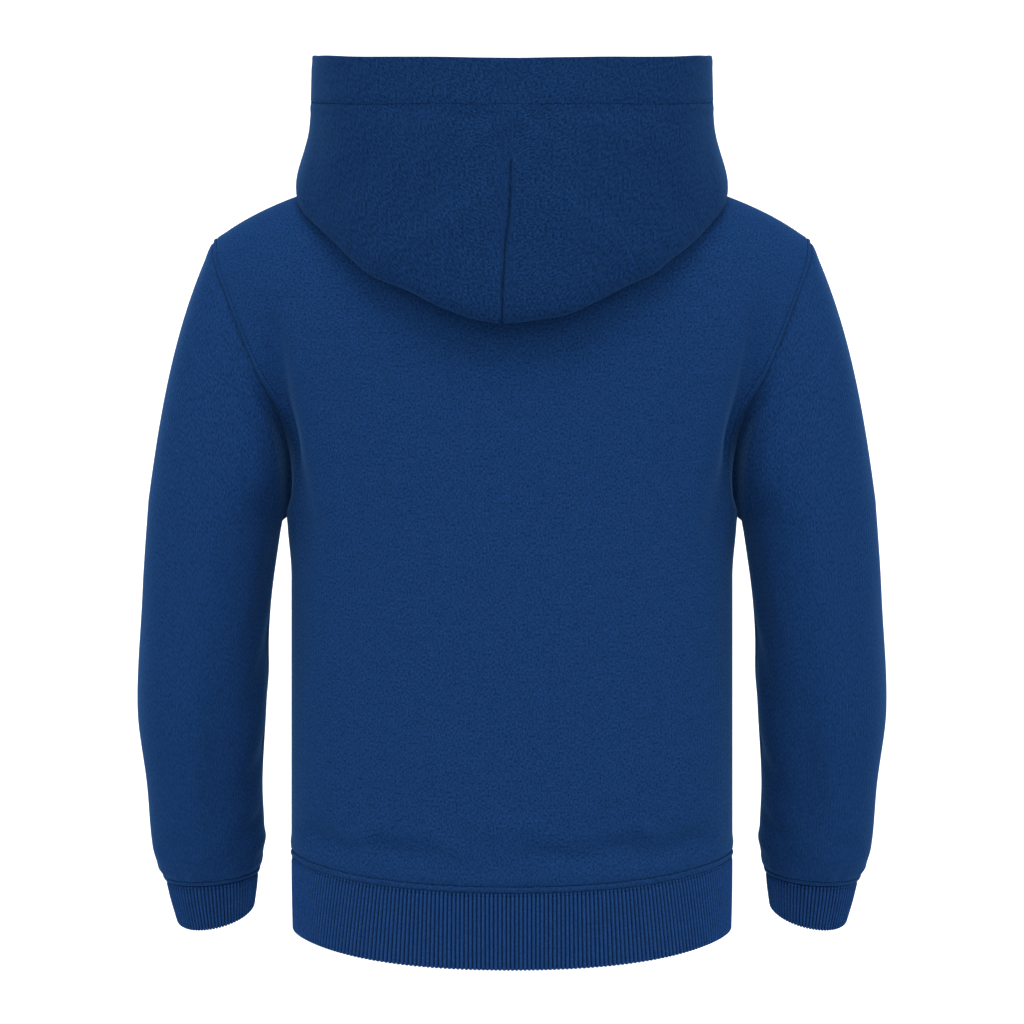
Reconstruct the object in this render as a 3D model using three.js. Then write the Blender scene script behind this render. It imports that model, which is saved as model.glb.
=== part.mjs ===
// A child's pullover hoodie in brushed fleece, hollow as if worn, with its hood down on the back.
//
// Frame, in millimetres: the origin is the middle of the neck opening, level with the neck ends of
// the shoulder seams. +Z is up, +Y is towards the wearer's back and +X towards the wearer's left.
//
// Each cut piece is a wall of cloth: a grid of outer points worked out from the sizes below, and
// the same grid moved inwards. Pieces stand SEAM_GAP apart where they are sewn together.
import * as THREE from "three";

// Cloth
const FLEECE = 2; // wall of the body, the sleeves and the hood
const RIB_WALL = 2.6; // doubled rib cloth of the waistband and the cuffs, between its ribs
const RIB_DEPTH = 0.8; // how far a rib stands out
const SEAM_GAP = 0.3;

// Body
const SHOULDER_HALF = 209; // from the middle to the sleeve seam at the shoulder
const SHOULDER_Z = -52;
const SHOULDER_FALL = 37.5; // how far the shoulder seam falls evenly
const SHOULDER_ROUND = 14.5; // and how much more it falls off towards the sleeve
const UNDERARM_Z = -243;
const UNDERARM_HALF = 157;
const BODY_HALF = 154; // half the width from the underarm down to the hem
const SEAM_SIDE_Z = -480.5; // the waistband seam at the side seams
const WAISTBAND_HEIGHT = 51.5;
const NECK_HALF = 88; // half the width of the neck opening
const NECK_COLUMNS = 6; // across half a panel, under the neck opening
const SIDE_COLUMNS = 6; // and from there to the sleeve seam
const LOWER_ROWS = 7;
const UPPER_ROWS = 13;
const ROOF = 3.4; // how much higher the body would be than the neck, if it closed over it
const ROLL = 2.5; // the power of the curve that carries a panel over the shoulder

// The back and the front differ in these. `depth` is from the side seam's plane out to the middle,
// `belly` how much deeper it is halfway down, `neckDrop` how far the neckline dips in the middle,
// and `drop` how much lower the waistband hangs in the middle than at the sides.
const BACK = { sign: 1, depth: 107, belly: 3, neckDrop: 12, armholeDepth: 52, drop: 14.5 };
const FRONT = { sign: -1, depth: 96, belly: 5, neckDrop: 66, armholeDepth: 48, drop: 10 };

// Half the width of a panel between the sleeve seams, over the height of the armhole.
const ARMHOLE_EDGE = [
  { z: UNDERARM_Z, x: UNDERARM_HALF },
  { z: -228, x: 153.5 },
  { z: -205, x: 154.5 },
  { z: -175, x: 161 },
  { z: -142, x: 177 },
  { z: -100, x: 194.5 },
  { z: -70, x: 206 },
  { z: SHOULDER_Z, x: SHOULDER_HALF },
];

// Ribs
const WAISTBAND_RIBS = 288;
const CUFF_RIBS = 76;

const LEFT = 1;
const RIGHT = -1;

const rad = THREE.MathUtils.degToRad;
const mix = THREE.MathUtils.lerp;
const point = (x, y, z) => new THREE.Vector3(x, y, z);
const smooth = (value, low, high) => THREE.MathUtils.smoothstep(value, low, high);

// ---------------------------------------------------------------- curves

// A smooth value through the rows of a table, by the column `key`: cubic pieces whose slope at
// each row comes from the rows beside it. `at` is the column that the table is ordered by.
function along(table, at, value, key) {
  let i = 0;
  while (i < table.length - 2 && value > table[i + 1][at]) i += 1;
  const slope = (k) => {
    const before = table[Math.max(k - 1, 0)];
    const after = table[Math.min(k + 1, table.length - 1)];
    return (after[key] - before[key]) / (after[at] - before[at]);
  };
  const [low, high] = [table[i], table[i + 1]];
  const span = high[at] - low[at];
  const t = THREE.MathUtils.clamp((value - low[at]) / span, 0, 1);
  return (
    low[key] * (2 * t ** 3 - 3 * t ** 2 + 1) +
    high[key] * (3 * t ** 2 - 2 * t ** 3) +
    slope(i) * span * (t ** 3 - 2 * t ** 2 + t) +
    slope(i + 1) * span * (t ** 3 - t ** 2)
  );
}

// The angles that part an oval with different back and front depths into equal lengths.
function evenAngles(half, backDepth, frontDepth, count) {
  const steps = 2880;
  const place = (angle) => {
    const depth = Math.sin(angle) > 0 ? backDepth : frontDepth;
    return [half * Math.cos(angle), depth * Math.sin(angle)];
  };
  const length = [0];
  for (let i = 1; i <= steps; i += 1) {
    const [x0, y0] = place(((i - 1) * 2 * Math.PI) / steps);
    const [x1, y1] = place((i * 2 * Math.PI) / steps);
    length.push(length[i - 1] + Math.hypot(x1 - x0, y1 - y0));
  }
  const angles = [];
  let i = 0;
  for (let k = 0; k < count; k += 1) {
    const wanted = (length[steps] * k) / count;
    while (length[i + 1] <= wanted) i += 1;
    const share = (wanted - length[i]) / (length[i + 1] - length[i]);
    angles.push(((i + share) * 2 * Math.PI) / steps);
  }
  return angles;
}

// ---------------------------------------------------------------- walls of cloth

// The outward direction at each point of a grid of rows, from the points beside it. `side` is 1 or
// -1, whichever makes the directions point out of the garment.
function normalsOf(grid, closed, side) {
  const columns = grid[0].length;
  return grid.map((row, i) =>
    row.map((_, j) => {
      const up = grid[Math.min(i + 1, grid.length - 1)][j].clone();
      up.sub(grid[Math.max(i - 1, 0)][j]);
      const after = closed ? (j + 1) % columns : Math.min(j + 1, columns - 1);
      const before = closed ? (j + columns - 1) % columns : Math.max(j - 1, 0);
      const across = row[after].clone().sub(row[before]);
      return across.cross(up).normalize().multiplyScalar(side);
    }),
  );
}

// The inner face of a wall: each outer point moved back along its direction.
const innerFace = (grid, directions, thickness) =>
  grid.map((row, i) =>
    row.map((p, j) => {
      const wall = typeof thickness === "number" ? thickness : thickness(i, j);
      return p.clone().addScaledVector(directions[i][j], -wall);
    }),
  );

// One closed surface from triangles of points, turned round if its faces point inwards.
function solid(triangles) {
  let volume = 0;
  for (const [a, b, c] of triangles) volume += a.dot(b.clone().cross(c));
  const positions = [];
  for (const [a, b, c] of triangles) {
    for (const p of volume < 0 ? [a, c, b] : [a, b, c]) positions.push(p.x, p.y, p.z);
  }
  const geometry = new THREE.BufferGeometry();
  geometry.setAttribute("position", new THREE.Float32BufferAttribute(positions, 3));
  geometry.computeVertexNormals();
  return geometry;
}

// Two triangles between four points in a ring.
const quad = (a, b, c, d) => [
  [a, b, c],
  [a, c, d],
];

// The triangles of a grid; `flipped` turns them over.
function sheet(grid, closed, flipped) {
  const triangles = [];
  const columns = grid[0].length;
  const last = closed ? columns : columns - 1;
  for (let i = 0; i < grid.length - 1; i += 1) {
    for (let j = 0; j < last; j += 1) {
      const k = (j + 1) % columns;
      const [a, b, c, d] = [grid[i][j], grid[i][k], grid[i + 1][k], grid[i + 1][j]];
      triangles.push(...(flipped ? quad(a, d, c, b) : quad(a, b, c, d)));
    }
  }
  return triangles;
}

// The strip between two lines of points with as many points each.
function strip(first, second, closed) {
  const triangles = [];
  const last = closed ? first.length : first.length - 1;
  for (let j = 0; j < last; j += 1) {
    const k = (j + 1) % first.length;
    triangles.push(...quad(first[j], second[j], second[k], first[k]));
  }
  return triangles;
}

// A closed wall from its outer and inner grids.
function wall(outer, inner, closed) {
  const top = outer.length - 1;
  const triangles = [...sheet(outer, closed, false), ...sheet(inner, closed, true)];
  triangles.push(...strip(outer[0], inner[0], closed));
  triangles.push(...strip(inner[top], outer[top], closed));
  if (!closed) {
    const edge = (grid, j) => grid.map((row) => row[j]);
    const last = outer[0].length - 1;
    triangles.push(...strip(edge(inner, 0), edge(outer, 0), false));
    triangles.push(...strip(edge(outer, last), edge(inner, last), false));
  }
  return solid(triangles);
}

// The ring of triangles between two closed lines that differ in how many points they have. Both
// start at the same place and run the same way round.
function ringBetween(fine, coarse) {
  const triangles = [];
  let [i, j] = [0, 0];
  while (i < fine.length || j < coarse.length) {
    const [f, c] = [fine[i % fine.length], coarse[j % coarse.length]];
    if ((i + 1) / fine.length <= (j + 0.5) / coarse.length) {
      i += 1;
      triangles.push([f, c, fine[i % fine.length]]);
    } else {
      j += 1;
      triangles.push([f, c, coarse[j % coarse.length]]);
    }
  }
  return triangles;
}

// ---------------------------------------------------------------- body

// The left armhole as a loop: `turn` is 0 at the shoulder, 90 degrees at the back, 180 at the
// underarm and 270 at the front.
function armhole(turn) {
  const z = mix(UNDERARM_Z, SHOULDER_Z, (1 + Math.cos(turn)) / 2);
  const panel = Math.sin(turn) > 0 ? BACK : FRONT;
  return point(along(ARMHOLE_EDGE, "z", z, "x"), panel.armholeDepth * Math.sin(turn), z);
}

// How high the body stands over x: the shoulder seam, and a low arch across the neck.
function roofHeight(x) {
  const reach = (Math.abs(x) - NECK_HALF) / (SHOULDER_HALF - NECK_HALF);
  if (reach > 0) return -SHOULDER_FALL * reach - SHOULDER_ROUND * reach ** 4;
  return ROOF * (1 - (x / NECK_HALF) ** 2);
}

// The height of a panel's upper edge: the shoulder seam, and the neckline within the neck.
function topHeight(panel, x) {
  if (Math.abs(x) >= NECK_HALF) return roofHeight(x);
  return -panel.neckDrop * (1 - (x / NECK_HALF) ** 2) ** 0.75;
}

// How much of its depth a panel has left at a height, as it rolls over the shoulder.
function rollShare(x, z) {
  const share = (z - UNDERARM_Z) / (roofHeight(x) - UNDERARM_Z);
  return Math.max(0, 1 - share ** ROLL) ** (1 / ROLL);
}

// The share of its drop that the hem has reached; `middle` is 0 at the side, 1 in the middle.
const hemCurve = (middle) => middle ** 1.8 * (1.3 - 0.3 * middle ** 3);

// How much the cloth stands out at the underarm, only close to the side seam.
const flareAt = (angle) => (UNDERARM_HALF - BODY_HALF) * Math.sin(angle) ** 9;

// A point on a panel's outer face. `across` runs from -1 to 1 between the sleeve seams or side
// seams. `height` runs from 0 at the waistband to 1 at the underarm and 2 at the shoulder.
function bodyPoint(panel, across, height) {
  const angle = (across * Math.PI) / 2;
  const middle = Math.cos(angle);
  if (height <= 1) {
    const seamZ = mix(SEAM_SIDE_Z, UNDERARM_Z, height);
    const x = BODY_HALF * Math.sin(angle) + flareAt(angle) * smooth(height, 0.82, 1);
    const hang = panel.drop * (1 - smooth(height, 0, 0.75)) * hemCurve(middle);
    const depth = panel.depth + panel.belly * Math.sin(Math.PI * height) * middle;
    return point(x, panel.sign * depth * middle, seamZ - hang);
  }
  // Above the underarm each row is an arc of an ellipse that ends on the sleeve seam.
  const turn = Math.PI * (2 - height);
  const seam = armhole(panel.sign * turn);
  const seamDepth = panel.depth * rollShare(seam.x, seam.z);
  const end = seamDepth > 1e-6 ? Math.acos(Math.abs(seam.y) / seamDepth) : Math.PI / 2;
  const arc = Math.sqrt(1 - (Math.sin(angle) * Math.sin(end)) ** 2);
  const flare = flareAt(angle) - (UNDERARM_HALF - BODY_HALF) * Math.sin(angle);
  const x = seam.x * Math.sin(angle) + flare * smooth(-seam.z, -UNDERARM_Z - 24, -UNDERARM_Z);
  const topX = SHOULDER_HALF * Math.sin(angle);
  const z = mix(UNDERARM_Z, topHeight(panel, topX), (1 + Math.cos(turn)) / 2);
  return point(x, panel.sign * panel.depth * arc * rollShare(topX, z), z);
}

// The columns of a panel from -1 to 1: even steps of turn round the neck opening, and from there
// even steps to the sleeve seam.
function panelColumns() {
  const half = [];
  for (let k = 1; k <= NECK_COLUMNS; k += 1) {
    const x = NECK_HALF * Math.sin(((k / NECK_COLUMNS) * Math.PI) / 2);
    half.push((2 / Math.PI) * Math.asin(x / SHOULDER_HALF));
  }
  const neck = half[NECK_COLUMNS - 1];
  for (let k = 1; k <= SIDE_COLUMNS; k += 1) half.push(mix(neck, 1, k / SIDE_COLUMNS));
  return [...half.map((across) => -across).reverse(), 0, ...half];
}

// The panel's outer grid, with its edges moved back from the seams by half the gap.
function bodyGrid(panel) {
  const grid = [];
  for (let i = 0; i <= LOWER_ROWS + UPPER_ROWS; i += 1) {
    const height = i <= LOWER_ROWS ? i / LOWER_ROWS : 1 + (i - LOWER_ROWS) / UPPER_ROWS;
    grid.push(panelColumns().map((across) => bodyPoint(panel, across, height)));
  }
  for (const row of grid) {
    for (const p of row) p.y = panel.sign * Math.max(Math.abs(p.y), SEAM_GAP / 2);
  }
  for (const p of grid[0]) p.z += SEAM_GAP / 2;
  return grid;
}

function bodyPanel(panel) {
  const grid = bodyGrid(panel);
  const directions = normalsOf(grid, false, panel.sign * RIGHT);
  const top = grid.length - 1;
  const columns = panelColumns();
  directions.forEach((row, i) => {
    row.forEach((d, j) => {
      const across = columns[j];
      const onShoulder = i === top && Math.abs(j - NECK_COLUMNS - SIDE_COLUMNS) >= NECK_COLUMNS;
      const onSide = i <= LOWER_ROWS && Math.abs(across) === 1;
      if (onShoulder || onSide) d.setY(0);
      if (onShoulder) d.add(point(0.35 * Math.sign(across) * Math.abs(across) ** 6, 0, 0));
      if (i === 0) d.setZ(0);
      d.normalize();
    });
  });
  return wall(grid, innerFace(grid, directions, FLEECE), false);
}

// ---------------------------------------------------------------- sleeves

// The left sleeve below the underarm, as ovals. `wide` and `deep` are half sizes, `lean` lifts the
// outer side and `pitch` lowers the back, in degrees.
const SLEEVE_RINGS = [
  { z: -240, x: 207.5, y: 2, wide: 47, deep: 53, lean: 9, pitch: 0 },
  { z: -302, x: 213.8, y: 0, wide: 45.1, deep: 50, lean: 6, pitch: 3 },
  { z: -380, x: 218.2, y: -8, wide: 45.4, deep: 46, lean: 2, pitch: 8 },
  { z: -432, x: 216.8, y: -18, wide: 40.8, deep: 42, lean: -2, pitch: 11 },
  { z: -474, x: 215, y: -28, wide: 39.6, deep: 40, lean: -3, pitch: 10 },
  { z: -488, x: 214, y: -32, wide: 36.8, deep: 37, lean: -3.5, pitch: 9 },
  { z: -498.5, x: 213.2, y: -35, wide: 32.9, deep: 33, lean: -3.8, pitch: 8.5 },
];
const CUFF_RINGS = [
  { z: -498.5, x: 213.2, y: -35, wide: 32.4, deep: 32.8, lean: -3.8, pitch: 8.5 },
  { z: -511, x: 212.3, y: -38.5, wide: 30.4, deep: 31.2, lean: -6.5, pitch: 14 },
  { z: -526, x: 211.2, y: -43, wide: 27.4, deep: 29.2, lean: -10, pitch: 19 },
];
const SLEEVE_COLUMNS = 2 * UPPER_ROWS; // one for each row of the panels at the armhole
const SLEEVE_TOP_ROWS = 7;
const SLEEVE_LOWER_ROWS = 11;

// A point on the oval at height z; `turn` is 0 on the outer side and 90 degrees at the back.
function ovalPoint(rings, z, turn) {
  const value = (key) => along(rings, "down", -z, key);
  const [lean, pitch] = [rad(value("lean")), rad(value("pitch"))];
  const outwards = value("wide") * Math.cos(turn);
  const backwards = value("deep") * Math.sin(turn);
  return point(
    value("x") + outwards * Math.cos(lean),
    value("y") + backwards * Math.cos(pitch),
    z + outwards * Math.sin(lean) - backwards * Math.sin(pitch),
  );
}
for (const ring of [...SLEEVE_RINGS, ...CUFF_RINGS]) ring.down = -ring.z;

// A point between the armhole and the first oval: a curve that leaves the armhole outwards and
// downwards, and arrives along the arm. `share` runs from 0 to 1.
function sleeveHead(turn, share) {
  const start = armhole(turn);
  const end = ovalPoint(SLEEVE_RINGS, SLEEVE_RINGS[0].z, turn);
  const under = (1 - Math.cos(turn)) / 2;
  const leave = point(mix(0.42, 0.2, under), 0.18 * Math.sin(turn), -mix(0.9, 0.97, under));
  const arrive = point(0.13, 0, -0.99);
  const reach = 0.34 * start.distanceTo(end);
  const curve = new THREE.CubicBezierCurve3(
    start,
    start.clone().addScaledVector(leave, reach),
    end.clone().addScaledVector(arrive, -reach),
    end,
  );
  return curve.getPoint(share);
}

// Mirrors a grid of the left side for the right side.
const forSide = (side, grid) => grid.map((row) => row.map((p) => point(side * p.x, p.y, p.z)));

const ringOf = (count, place) => Array.from({ length: count }, (_, j) => place(j));

function sleeve(side) {
  const turnOf = (j) => (2 * Math.PI * j) / SLEEVE_COLUMNS;
  const grid = [];
  for (let i = 0; i < SLEEVE_TOP_ROWS; i += 1) {
    grid.push(ringOf(SLEEVE_COLUMNS, (j) => sleeveHead(turnOf(j), i / SLEEVE_TOP_ROWS)));
  }
  const [first, last] = [SLEEVE_RINGS[0].z, SLEEVE_RINGS[SLEEVE_RINGS.length - 1].z];
  for (let i = 0; i <= SLEEVE_LOWER_ROWS; i += 1) {
    const z = mix(first, last, Math.sin((Math.PI / 2) * (i / SLEEVE_LOWER_ROWS)) ** 0.86);
    grid.push(ringOf(SLEEVE_COLUMNS, (j) => ovalPoint(SLEEVE_RINGS, z, turnOf(j))));
  }
  const directions = normalsOf(grid, true, RIGHT);
  grid[0].forEach((p, j) => {
    const away = grid[1][j].clone().sub(p).normalize();
    p.addScaledVector(away, SEAM_GAP + 0.1);
    const raised = 1 + Math.cos(turnOf(j));
    directions[0][j].add(point(-0.25 * raised, 0, 0.35 * raised)).normalize();
  });
  for (const p of grid[grid.length - 1]) p.z += SEAM_GAP / 2;
  const inner = innerFace(grid, directions, FLEECE);
  return wall(forSide(side, grid), forSide(side, inner), true);
}

// ---------------------------------------------------------------- ribbed bands

// A closed band with raised ribs outside and a plain face inside. `place(level, turn)` is a point
// on the middle of its outer face, with level 0 at the top seam and 1 at the bottom.
function ribbedBand(levels, turns, plainTurns, place, side) {
  const ribDirections = (level, angles) => {
    const rings = [-0.01, 0.01].map((d) => angles.map((turn) => place(level + d, turn)));
    return normalsOf(rings, true, RIGHT)[0];
  };
  const outer = levels.map((level) => {
    const ring = turns.map((turn) => place(level, turn));
    const directions = ribDirections(level, turns);
    return ring.map((p, j) => p.addScaledVector(directions[j], (j % 2 ? -0.5 : 0.5) * RIB_DEPTH));
  });
  const inner = levels.map((level) => {
    const ring = plainTurns.map((turn) => place(level, turn));
    const directions = ribDirections(level, plainTurns);
    return ring.map((p, j) => p.addScaledVector(directions[j], -RIB_WALL));
  });
  const [a, b] = [forSide(side, outer), forSide(side, inner)];
  const last = levels.length - 1;
  return solid([
    ...sheet(a, true, false),
    ...sheet(b, true, true),
    ...ringBetween(a[0], b[0]),
    ...ringBetween(a[last], b[last]).map(([p, q, r]) => [p, r, q]),
  ]);
}

// The waistband's seam line continues the two panels' lower edges.
function waistbandPoint(level, turn) {
  const panel = Math.sin(turn) > 0 ? BACK : FRONT;
  const middle = Math.abs(Math.sin(turn));
  const hug = RIB_DEPTH / 2 + 0.8 * level ** 2; // it draws in a little towards its lower edge
  return point(
    (BODY_HALF - hug) * Math.cos(turn),
    (panel.depth - hug) * Math.sin(turn),
    SEAM_SIDE_Z - SEAM_GAP / 2 - WAISTBAND_HEIGHT * level - panel.drop * hemCurve(middle),
  );
}

function waistband() {
  const angles = (count) => evenAngles(BODY_HALF, BACK.depth, FRONT.depth, count);
  return ribbedBand([0, 1], angles(2 * WAISTBAND_RIBS), angles(WAISTBAND_RIBS / 2), waistbandPoint, 1);
}

function cuff(side) {
  const [top, bottom] = [CUFF_RINGS[0].z - SEAM_GAP, CUFF_RINGS[2].z];
  const place = (level, turn) => ovalPoint(CUFF_RINGS, mix(top, bottom, level), turn);
  const angles = (count) => ringOf(count, (j) => (2 * Math.PI * j) / count);
  return ribbedBand([0, 0.5, 1], angles(2 * CUFF_RIBS), angles(CUFF_RIBS / 2), place, side);
}

// ---------------------------------------------------------------- hood

// The hood lies folded down round the neck. `turn` is the place round the neck in degrees: 0 at
// the middle of the back, 90 over the shoulder and 180 at the throat, where the ends cross.
// HOOD_FOLD is the hood's lowest line, where its cloth turns back up, and HOOD_EDGE its face edge.
const HOOD_FOLD = [
  { turn: -16, x: -27, y: 126, z: -113 },
  { turn: 0, x: 0, y: 127, z: -115.5 },
  { turn: 16, x: 27, y: 126, z: -113 },
  { turn: 30, x: 54, y: 119, z: -102 },
  { turn: 55, x: 104, y: 92, z: -74 },
  { turn: 75, x: 136, y: 57, z: -42 },
  { turn: 83, x: 144, y: 40, z: -30 },
  { turn: 90, x: 145.5, y: 12, z: -15 },
  { turn: 105, x: 140, y: -22, z: -16 },
  { turn: 120, x: 122, y: -51, z: -36 },
  { turn: 150, x: 72, y: -84, z: -62 },
  { turn: 170, x: 24, y: -95, z: -69 },
  { turn: 180, x: 0, y: -96, z: -70 },
];
const HOOD_EDGE = [
  { turn: -16, x: -30, y: 97.5, z: 62.5 },
  { turn: 0, x: 0, y: 98, z: 62 },
  { turn: 16, x: 30, y: 97.5, z: 62.5 },
  { turn: 30, x: 58, y: 95, z: 63.2 },
  { turn: 55, x: 106, y: 79, z: 65.5 },
  { turn: 75, x: 133, y: 44, z: 71 },
  { turn: 90, x: 138, y: 4, z: 73.5 },
  { turn: 120, x: 112, y: -46, z: 38 },
  { turn: 150, x: 58, y: -88, z: -8 },
  { turn: 168, x: 25, y: -100, z: -32 },
  { turn: 180, x: 0, y: -102, z: -46 },
];
// How the cloth runs between the neck seam, the fold and the face edge: it stands `stand` high and
// `out` away from the neck seam before it rolls over, is `half` thick each side of the fold, and
// its outer face swells by `swell` halfway up.
const HOOD_LIE = [
  { turn: -16, stand: 58, out: 13, half: 5.5, swell: 7 },
  { turn: 0, stand: 58, out: 13, half: 5.5, swell: 7 },
  { turn: 55, stand: 48, out: 13, half: 5, swell: 5 },
  { turn: 90, stand: 30, out: 12, half: 4.6, swell: -2 },
  { turn: 120, stand: 16, out: 12, half: 7, swell: 3 },
  { turn: 150, stand: 6, out: 10, half: 5.4, swell: 4 },
  { turn: 180, stand: 2, out: 8, half: 5.4, swell: 4 },
];
const HOOD_END = 187.5; // how far round each end reaches, past the other one
const HOOD_COLUMNS = 50;
const CASING = 32; // width of the turned hem at the face edge
const CASING_WALL = 3; // the hem's two layers together
const CROSSING = 4.6; // how far behind the left end the right end lies

// The neck seam at a turn, on the straight lines between the panels' neckline points.
function neckSeam(turn) {
  const step = 90 / NECK_COLUMNS;
  const corner = (k) => {
    const panel = Math.cos(rad(k * step)) > 0 ? BACK : FRONT;
    const across = (2 / Math.PI) * Math.asin((NECK_HALF / SHOULDER_HALF) * Math.sin(rad(k * step)));
    return bodyPoint(panel, across, 2).add(point(0, 0, SEAM_GAP));
  };
  const k = Math.floor(turn / step);
  return corner(k).lerp(corner(k + 1), turn / step - k);
}

const bowedAt = (turn) => smooth(turn, 142, 165);

// The points that the cloth passes through from the neck seam to the face edge, at one turn.
function hoodProfile(turn) {
  const read = (table, key) => along(table, "turn", turn, key);
  const from = (table) => point(read(table, "x"), read(table, "y"), read(table, "z"));
  const [seam, fold, edge] = [neckSeam(turn), from(HOOD_FOLD), from(HOOD_EDGE)];
  const out = fold.clone().sub(seam).setZ(0).normalize();
  const [stand, reach, half] = [read(HOOD_LIE, "stand"), read(HOOD_LIE, "out"), read(HOOD_LIE, "half")];
  const roll = seam.clone().addScaledVector(out, reach).add(point(0, 0, stand));
  const fall = roll.clone().lerp(fold, 0.5).addScaledVector(out, reach / 3);
  const rise = fold.clone().lerp(edge, 0.5).addScaledVector(out, read(HOOD_LIE, "swell"));
  const turned = (towards, sideways) => {
    const way = towards.clone().sub(fold);
    const upright = Math.max(0, way.z / way.length());
    const share = Math.min(0.45, half / way.length());
    return fold.clone().lerp(towards, share).addScaledVector(out, sideways * upright);
  };
  const folded = [
    seam,
    seam.clone().addScaledVector(out, 0.25 * reach).add(point(0, 0, 0.55 * stand)),
    roll,
    fall,
    turned(fall, -half),
    fold,
    turned(rise, half),
    rise,
    edge,
  ];
  // Towards the throat the cloth has no fold, and only bows from the seam up to the face edge.
  const bow = new THREE.CubicBezierCurve3(
    seam,
    seam.clone().addScaledVector(out, 15).add(point(0, 0, -7)),
    edge.clone().addScaledVector(out, 5).add(point(0, 0, -24)),
    edge,
  );
  return folded.map((p, k) => p.lerp(bow.getPoint(k / 8), bowedAt(turn)));
}

// Where the rows of the hood's grid lie on that profile, counted in its points, and the hem's rows.
const HOOD_ROWS = [
  0, 0.6, 1.2, 1.6, 1.9, 2.2, 2.6, 3.1, 3.6, 4, 4.35, 4.7, 5, 5.3, 5.65, 6, 6.5, 7, 7.35, 7.7, 8,
];

function hood() {
  const turns = [];
  for (let j = -HOOD_COLUMNS / 2; j <= HOOD_COLUMNS / 2; j += 1) turns.push((2 * HOOD_END * j) / HOOD_COLUMNS);
  const columns = turns.map((turn) => {
    const past = Math.max(0, Math.abs(turn) - 180); // past the throat an end gets narrower
    const side = (past > 0 ? -1 : 1) * Math.sign(turn);
    const profile = hoodProfile(Math.abs(turn) - 2 * past);
    const curve = new THREE.CatmullRomCurve3(profile, false, "centripetal");
    return HOOD_ROWS.map((row) => {
      const p = curve.getPoint((row / 8) * (1 - 0.04 * past));
      return point(side * p.x, p.y, p.z);
    });
  });
  const grid = HOOD_ROWS.map((_, i) => columns.map((column) => column[i]));
  const directions = normalsOf(grid, false, RIGHT);
  directions[0].forEach((d, j) => d.setZ(d.z * bowedAt(Math.abs(turns[j]))).normalize());
  const behind = turns.map((turn) => CROSSING * smooth(-turn, 157, 172));
  const outer = grid.map((row, i) =>
    row.map((p, j) => p.clone().addScaledVector(directions[i][j], -behind[j])),
  );
  const toEdge = (i, j) => {
    let length = 0;
    for (let k = i; k < grid.length - 1; k += 1) length += grid[k][j].distanceTo(grid[k + 1][j]);
    return length;
  };
  const thickness = (i, j) => mix(CASING_WALL, FLEECE, smooth(toEdge(i, j), CASING - 2, CASING + 3));
  return wall(outer, innerFace(outer, directions, thickness), false);
}

// ---------------------------------------------------------------- the garment

const fleece = new THREE.MeshStandardMaterial({ color: 0x1b3967, roughness: 0.95, metalness: 0 });
const rib = new THREE.MeshStandardMaterial({ color: 0x18335d, roughness: 0.92, metalness: 0 });

function piece(name, geometry, material) {
  const mesh = new THREE.Mesh(geometry, material);
  mesh.name = name;
  return mesh;
}

const hoodie = new THREE.Group();
hoodie.name = "hoodie";
hoodie.add(
  piece("back_panel", bodyPanel(BACK), fleece),
  piece("front_panel", bodyPanel(FRONT), fleece),
  piece("sleeve_left", sleeve(LEFT), fleece),
  piece("sleeve_right", sleeve(RIGHT), fleece),
  piece("hood", hood(), fleece),
  piece("waistband", waistband(), rib),
  piece("cuff_left", cuff(LEFT), rib),
  piece("cuff_right", cuff(RIGHT), rib),
);

export default hoodie;
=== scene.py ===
"""A child's pullover hoodie in brushed fleece, filled out as if worn, with its hood down.

Sizes are in millimetres in the tables and functions, and in metres in Blender. The origin is the
middle of the neck, +Z up, +Y out of the back and +X towards the wearer's left sleeve. Each piece
is cloth with two faces: a grid of outer points worked out from the sizes, and an inner face behind.
"""

import math

import bpy
import numpy as np
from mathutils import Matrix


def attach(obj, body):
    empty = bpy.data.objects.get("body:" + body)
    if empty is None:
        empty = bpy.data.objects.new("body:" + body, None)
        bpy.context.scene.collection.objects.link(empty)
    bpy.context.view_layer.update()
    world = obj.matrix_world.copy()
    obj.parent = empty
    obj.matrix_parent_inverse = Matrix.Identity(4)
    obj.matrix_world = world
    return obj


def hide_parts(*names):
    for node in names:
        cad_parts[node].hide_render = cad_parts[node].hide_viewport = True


bl_info = {
    "name": "Hoodie",
    "version": (1, 0, 0),
    "blender": (4, 5, 0),
    "location": "View3D > Sidebar > Hoodie",
    "description": "Dresses a pullover hoodie with knitted cloth, ribs, seams and stitches",
    "category": "Object",
}

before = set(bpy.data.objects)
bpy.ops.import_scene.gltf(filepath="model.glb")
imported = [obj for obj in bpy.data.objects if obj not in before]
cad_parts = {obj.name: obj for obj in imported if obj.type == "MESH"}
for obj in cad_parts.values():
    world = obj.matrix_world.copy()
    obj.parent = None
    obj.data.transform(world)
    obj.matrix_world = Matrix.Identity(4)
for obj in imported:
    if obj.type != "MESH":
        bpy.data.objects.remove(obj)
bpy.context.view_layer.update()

# ---------------------------------------------------------------- sizes of the garment

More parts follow.
